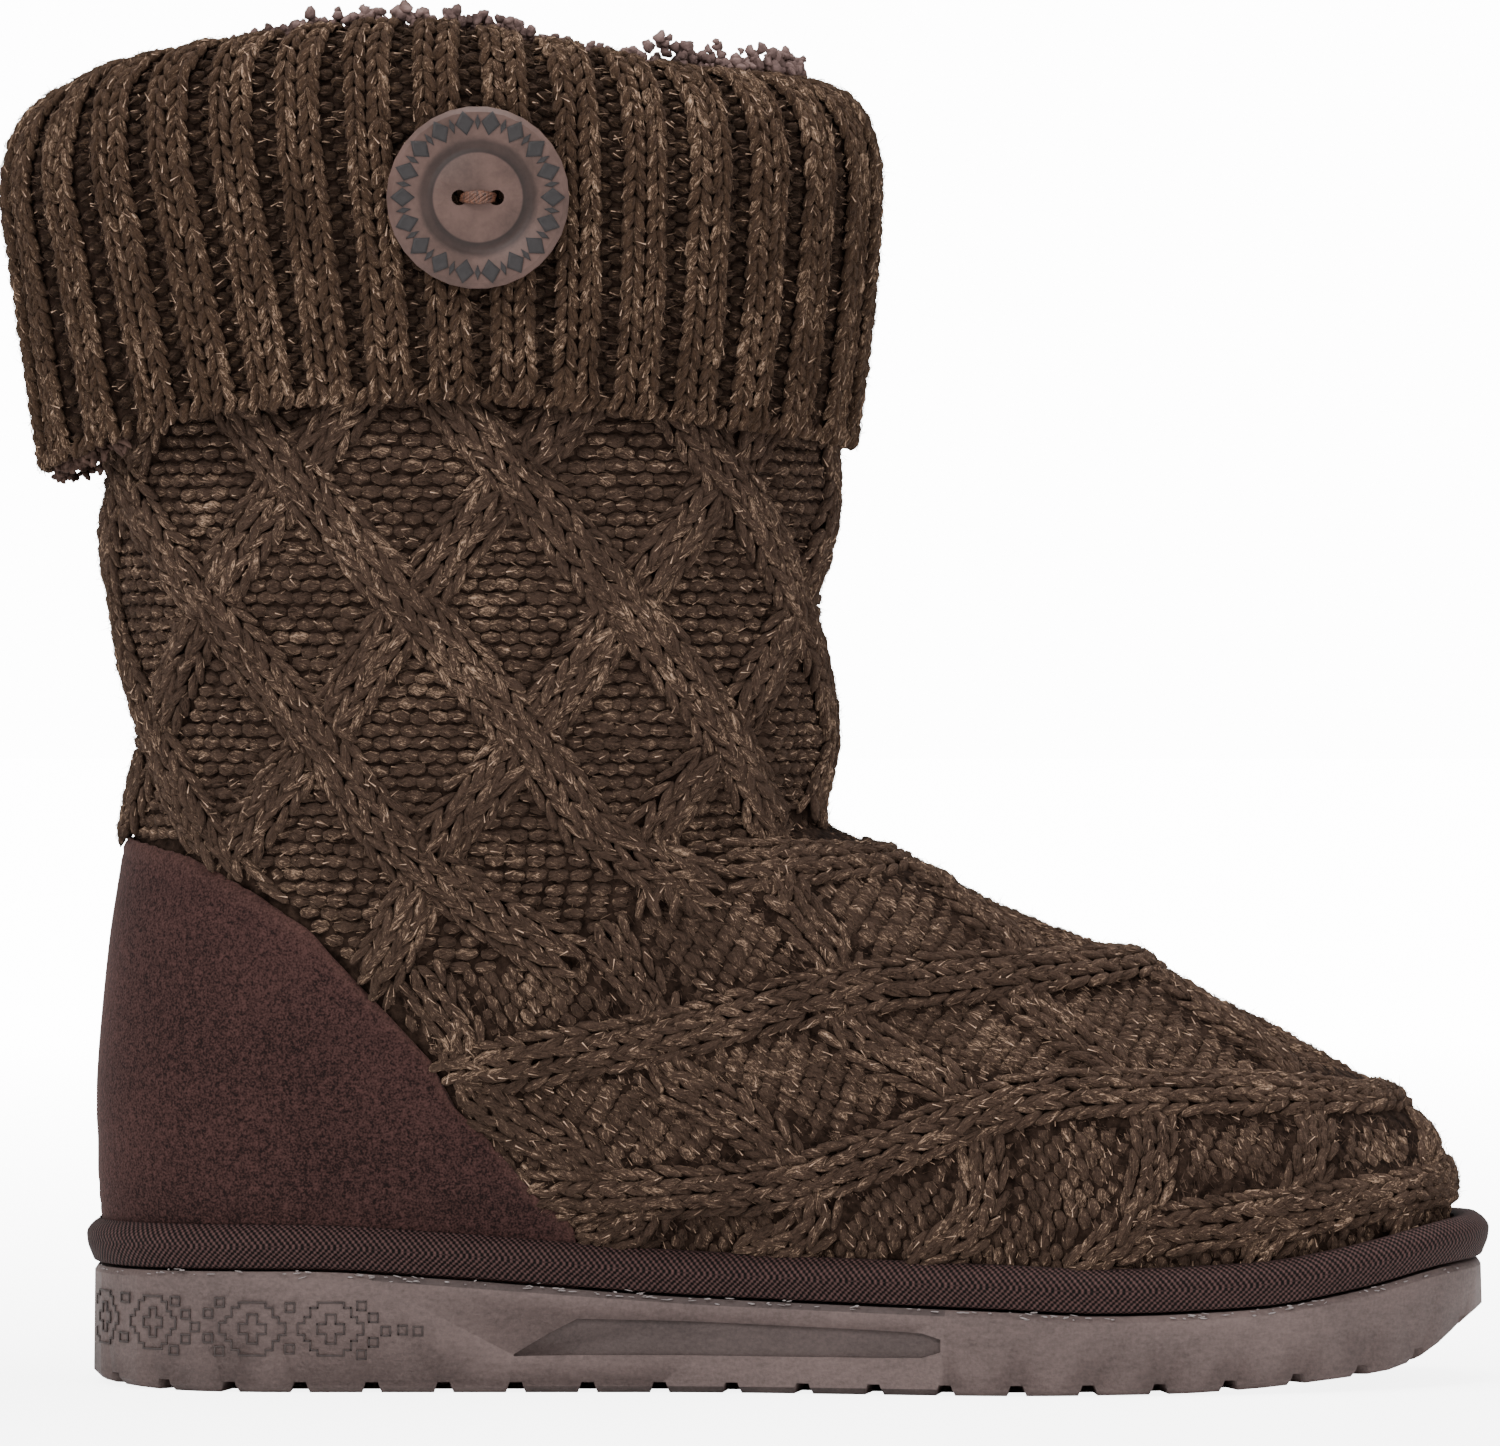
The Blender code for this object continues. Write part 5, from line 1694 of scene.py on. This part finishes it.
    def build(self) -> None:
        """Makes the sole's pieces."""
        bm = merged_copy("outsole")
        bmesh.ops.dissolve_limit(bm, angle_limit=math.radians(.5), verts=bm.verts, edges=bm.edges)
        mesh = bpy.data.meshes.new("sole")
        bm.to_mesh(mesh)
        bm.free()
        piece = link_piece("sole_moulding", mesh, FoamRubber().material(), ("outsole",), 32)
        # A darker copy of the rubber: painted shade for the recess in the sole's outer side.
        mesh.materials.append(FoamRubber("rubber_recess_painted_shade", (.036, .0240, .0220), (.072, .0500, .0460))
                              .material())
        # The recess's faces on the outer side take the painted shade.
        ends = self.form.along(SOLE_RECESS[0][0]), self.form.along(SOLE_RECESS[-1][0])
        for face in piece.data.polygons:
            x, y, z = np.array(face.center) / MM
            edge = self.side_point(np.array([x]), np.array([z]), 0)[0][0, 1]
            if ends[0] < x < ends[1] and y < 0 and y - edge > .45 and face.normal.y < -.6:
                face.material_index = 1
        self.engrave()
        self.glue()


@dataclass
class Button:
    """The turned button with a ring of lozenges on its rim, and the thread that holds it."""

    rim_radius: float = 14.4
    lozenges: int = 18
    strands: int = 7

    def build(self) -> None:
        """Makes the button's and thread's pieces."""
        low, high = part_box("button")
        centre = np.array((low + high) / 2) / MM
        front = low[1] / MM
        bm = merged_copy("button")
        mesh = bpy.data.meshes.new("button")
        bm.to_mesh(mesh)
        bm.free()
        finish = CastResin((float(centre[0]), float(centre[2]))).material()
        link_piece("button_disc", mesh, finish, ("button",), 18)
        self.motif(centre, front)
        self.thread()

    def motif(self, centre: Array, front: float) -> None:
        """Rims the button with sunk lozenges and dashes."""
        angle = np.arange(self.lozenges * 2) * math.pi / self.lozenges
        radial = np.stack([np.cos(angle), np.zeros_like(angle), np.sin(angle)], axis=1)
        out = np.tile((0.0, -1.0, 0.0), (len(angle), 1))
        place = np.array((centre[0], front - .06, centre[2])) + radial * self.rim_radius
        lozenge = np.arange(len(angle)) % 2 == 0
        size = np.where(lozenge[:, None], (4.8, 3.7, .30), (3.0, 1.1, .30))
        bm = bmesh.new()
        bmesh.ops.create_cube(bm, size=1.0)
        bmesh.ops.rotate(bm, cent=(0, 0, 0), matrix=Matrix.Rotation(math.pi / 4, 3, "Z"), verts=bm.verts)
        bmesh.ops.scale(bm, vec=(.7071, .7071, 1), verts=bm.verts)
        bmesh.ops.inset_region(bm, faces=[f for f in bm.faces if f.normal.z > .9],
                                       thickness=.20, depth=0)
        bmesh.ops.translate(bm, vec=(0, 0, -.45), verts=[
            v for v in bm.verts if v.co.z > 0 and math.hypot(v.co.x, v.co.y) < .36])
        lay = Lay(place, radial, out, size, np.zeros(len(angle)))
        link_piece("button_motif", repeat_shape(bm, lay), MarkAndGrooveShade("sunk_motif").material())

    def thread(self) -> None:
        """Winds several strands through the two holes and over the middle."""
        low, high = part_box("button_thread")
        x, z = (low[0] + high[0]) / 2 / MM, (low[2] + high[2]) / 2 / MM
        half = 3.15
        curve = bpy.data.curves.new("thread", "CURVE")
        curve.dimensions, curve.bevel_depth, curve.bevel_resolution = "3D", .36 * MM, 1
        curve.use_fill_caps = True
        for strand in range(self.strands):
            phase = 2 * math.pi * strand / self.strands
            spline = curve.splines.new("POLY")
            spline.points.add(24)
            for step, point in enumerate(spline.points):
                share = step / 24
                twist = phase + 5.5 * share
                arch = math.sin(math.pi * share)
                px = x + (2 * share - 1) * half + .15 * math.cos(twist)
                py = low[1] / MM + 1.0 + 3.2 * (1 - arch ** .5) + .50 * math.sin(twist)
                pz = z + (.55 + .45 * arch) * math.cos(twist)
                point.co = (px * MM, py * MM, pz * MM, 1)
        holder = bpy.data.objects.new("thread", curve)
        bpy.context.scene.collection.objects.link(holder)
        mesh = bpy.data.meshes.new_from_object(holder)
        bpy.data.objects.remove(holder)
        shader = Shader("copper_thread")
        ply = shader.noise((2600, 900, 900), 2.0)
        shader.bump(ply, .0002, .8)
        material = shader.dress(shader.ramp(ply, ((.38, (.034, .012, .007)), (.66, (.135, .052, .027)))),
                                Roughness=.5)
        link_piece("thread_bundle", mesh, material, ("button_thread",))


@dataclass
class Lining:
    """The fleece inside the boot, its tufts over the rim, and the footbed."""

    form: BootForm
    tufts: int = 3300

    def shell(self) -> None:
        """The pile against the inside of the wall."""
        rows = np.concatenate([np.arange(.9, 14, .6), np.arange(14, 29.6, .5)])
        columns = np.arange(0, self.form.columns, .6)
        row, column = np.meshgrid(rows, columns, indexing="ij")
        step_in = np.interp(row, (0, 28.7, 29.3, 30), (0, 0, 9.8, 10.2))
        scatter = np.random.default_rng(3)
        pile = 3.2 + 1.5 * scatter.random(row.shape)
        outside = self.form.wall.at(row, column, -2.8 - step_in)[0]
        inside = self.form.wall.at(row, column, -2.8 - step_in - pile)[0]
        link_piece("lining", lay_sheet(closed_rows(outside, inside)), Fleece().material())

    def footbed(self) -> None:
        """The footbed with its pile."""
        bm = merged_copy("insole")
        bmesh.ops.triangulate(bm, faces=bm.faces)
        bmesh.ops.subdivide_edges(bm, edges=bm.edges, cuts=3, use_grid_fill=True)
        scatter = np.random.default_rng(4)
        for vert in bm.verts:
            if vert.normal.z > .5:
                vert.co.z += scatter.uniform(0, .0011)
        mesh = bpy.data.meshes.new("footbed")
        bm.to_mesh(mesh)
        bm.free()
        link_piece("footbed", mesh, Fleece("fleece_footbed").material(), ("insole",))

    def tuft_lay(self) -> Lay:
        """Curls round the rim's inner edge, higher where the photographed pile stands up."""
        scatter = np.random.default_rng(9)
        row = 5.3 + 2.7 * scatter.random(self.tufts) ** 1.7
        column = scatter.uniform(0, 3 * self.form.rib_count, self.tufts)
        base, out = self.form.cuff.at(row, column, .2)
        x, y = base[:, 0], base[:, 1]
        near = np.interp(x, (-60, -5, 8, 50, 58, 72, 78, 125), (-.4, 0, 1, 1, .3, .5, 2.0, 2.2))
        far = np.interp(x, (-60, -20, 0, 60, 70, 80, 125), (0, .4, 1, .9, 1.0, 2.2, 2.3))
        stand = np.where(y < 0, near, far) * 2.6 * np.clip((7.2 - row) / 1.5, .2, 1)
        base[:, 2] += stand * scatter.uniform(.15, 1.1, self.tufts) + scatter.normal(0, .4, self.tufts)
        middle_y, middle_x = -.5, 33.0
        inward = unit(np.stack([middle_x - x, middle_y - y, np.zeros_like(x)], axis=1))
        base += inward * scatter.uniform(0, 5.0, (self.tufts, 1)) * np.clip((row - 5.2) / 1, 0, 1)[:, None]
        along = unit(out + scatter.normal(0, .9, (self.tufts, 3)))
        side = unit(np.cross(along, scatter.normal(0, 1, (self.tufts, 3))))
        length = scatter.uniform(1.7, 3.2, self.tufts)
        size = np.stack([length, length * .85, length * .75], axis=1)
        return Lay(base, along, side, size, scatter.random(self.tufts))

    def hem_lay(self) -> Lay:
        """The strip of pile that shows under the cuff's hem at the back."""
        scatter = np.random.default_rng(10)
        count = 220
        turn = scatter.uniform(-10, 10, count)
        base = self.form.cuff.at(np.zeros(count), turn, -3.4)[0]
        base[:, 2] += scatter.uniform(-3.2, 1.0, count)
        along = unit(scatter.normal(0, .7, (count, 3)) + np.array((0, 0, -.8)))
        side = unit(np.cross(along, scatter.normal(0, 1, (count, 3))))
        length = scatter.uniform(2.2, 3.8, count)
        size = np.stack([length, length * .5, length * .42], axis=1)
        return Lay(base, along, side, size, scatter.random(count))

    def build(self) -> None:
        """Makes the lining's pieces."""
        self.shell()
        self.footbed()
        curl = Strand(taper=.05, droop=.3, bend=.25)
        fleece = Fleece("fleece_curls", dark=(.052, .0330, .0300), light=(.215, .142, .130)).material()
        under = Fleece("fleece_hem", dark=(.016, .0090, .0072), light=(.115, .070, .056)).material()
        lay = self.tuft_lay()
        link_piece("rim_curls", repeat_shape(curl.shape(), lay), fleece)
        link_piece("hem_curls", repeat_shape(curl.shape(), self.hem_lay()), under)


@dataclass
class Studio:
    """The pale floor, soft lights and level camera of the photograph."""

    middle: tuple[float, float, float] = (.0948, 0.0, .150)
    distance: float = 2.0
    view_width: float = .2968
    shift_y: float = -.068

    def floor(self) -> None:
        """Lays the pale floor."""
        bm = bmesh.new()
        bmesh.ops.create_grid(bm, x_segments=2, y_segments=2, size=9.0)
        mesh = bpy.data.meshes.new("floor")
        bm.to_mesh(mesh)
        bm.free()
        shader = Shader("pale_floor")
        paper = shader.noise((3, 3, 3), 1.0)
        parts = shader.add("SeparateXYZ")
        shader.join(shader.place((1, 1, 1)), parts.inputs[0])
        away = shader.add("MapRange", From_Min=.0, From_Max=1.6, To_Min=5.2, To_Max=14.0)
        shader.join(parts.outputs["Y"], away.inputs["Value"])
        lit = shader.add("Math", operation="MULTIPLY")
        shader.join(shader.add("LightPath").outputs["Is Camera Ray"], lit.inputs[0])
        shader.join(away.outputs["Result"], lit.inputs[1])
        shader.join(lit.outputs[0], shader.surface.inputs["Emission Strength"])
        mesh.materials.append(shader.dress(
            shader.ramp(paper, ((0, (.90, .90, .90)), (1, (.92, .92, .92)))), Roughness=.6,
            Emission_Color=(1, 1, 1, 1)))
        floor = bpy.data.objects.new("floor", mesh)
        bpy.context.scene.collection.objects.link(floor)
        floor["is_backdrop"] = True

    def lamp(self, name: str, place: Sequence[float], size: float, power: float) -> None:
        """Hangs a square soft light that faces the boot.

        Args:
            name: The light's name.
            place: Where it hangs, in metres.
            size: Its side.
            power: Its power in watts.
        """
        light = bpy.data.lights.new(name, "AREA")
        light.shape, light.size, light.energy = "SQUARE", size, power
        lamp = bpy.data.objects.new(name, light)
        lamp.location = place
        aim = Vector((.09, 0, .12)) - Vector(place)
        lamp.rotation_euler = aim.to_track_quat("-Z", "Y").to_euler()
        bpy.context.scene.collection.objects.link(lamp)

    def camera(self) -> None:
        """Stands the camera level, square to the boot's outer side."""
        data = bpy.data.cameras.new("camera")
        data.sensor_width = 36.0
        data.lens = 36.0 * self.distance / self.view_width
        data.shift_y = self.shift_y
        camera = bpy.data.objects.new("camera", data)
        x, y, z = self.middle
        camera.location = (x, y - self.distance, z)
        camera.rotation_euler = (math.pi / 2, 0, 0)
        bpy.context.scene.collection.objects.link(camera)
        bpy.context.scene.camera = camera

    def build(self) -> None:
        """Sets up the floor, lights, background and camera."""
        self.floor()
        self.lamp("key", (-.75, -1.25, 1.25), .7, 24)
        self.lamp("fill", (1.2, -1.3, .75), 1.0, 9)
        self.lamp("top", (.1, .05, 1.7), .9, 26)
        world = bpy.data.worlds.new("white_room")
        world.use_nodes = True
        tree = world.node_tree
        room, shown = tree.nodes["Background"], tree.nodes.new("ShaderNodeBackground")
        for light, strength in ((room, .9), (shown, 14.0)):
            light.inputs["Color"].default_value = (1, 1, 1, 1)
            light.inputs["Strength"].default_value = strength
        either = tree.nodes.new("ShaderNodeMixShader")
        seen = tree.nodes.new("ShaderNodeLightPath").outputs["Is Camera Ray"]
        for source, target in ((seen, 0), (room.outputs[0], 1), (shown.outputs[0], 2)):
            tree.links.new(source, either.inputs[target])
        tree.links.new(either.outputs[0], tree.nodes["World Output"].inputs["Surface"])
        bpy.context.scene.world = world
        self.camera()


def corners() -> list[list[float]]:
    """The lowest and highest corner of what is shown now."""
    return [list(corner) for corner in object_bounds()]


def main() -> None:
    """Builds the studio and every sub-assembly, and reports each piece."""
    logging.basicConfig(level=logging.INFO, format="%(name)s %(message)s")
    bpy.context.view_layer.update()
    Studio().build()
    form = BootForm()
    Outsole(form).build()
    Binding(form).build()
    Counter(form).build()
    strands = UpperKnit(form.wall, form=form).build()
    strands += Cuff(form.cuff, form=form).build()
    Halo().build(strands)
    Lining(form).build()
    Button().build()


if __name__ == "__main__":
    main()
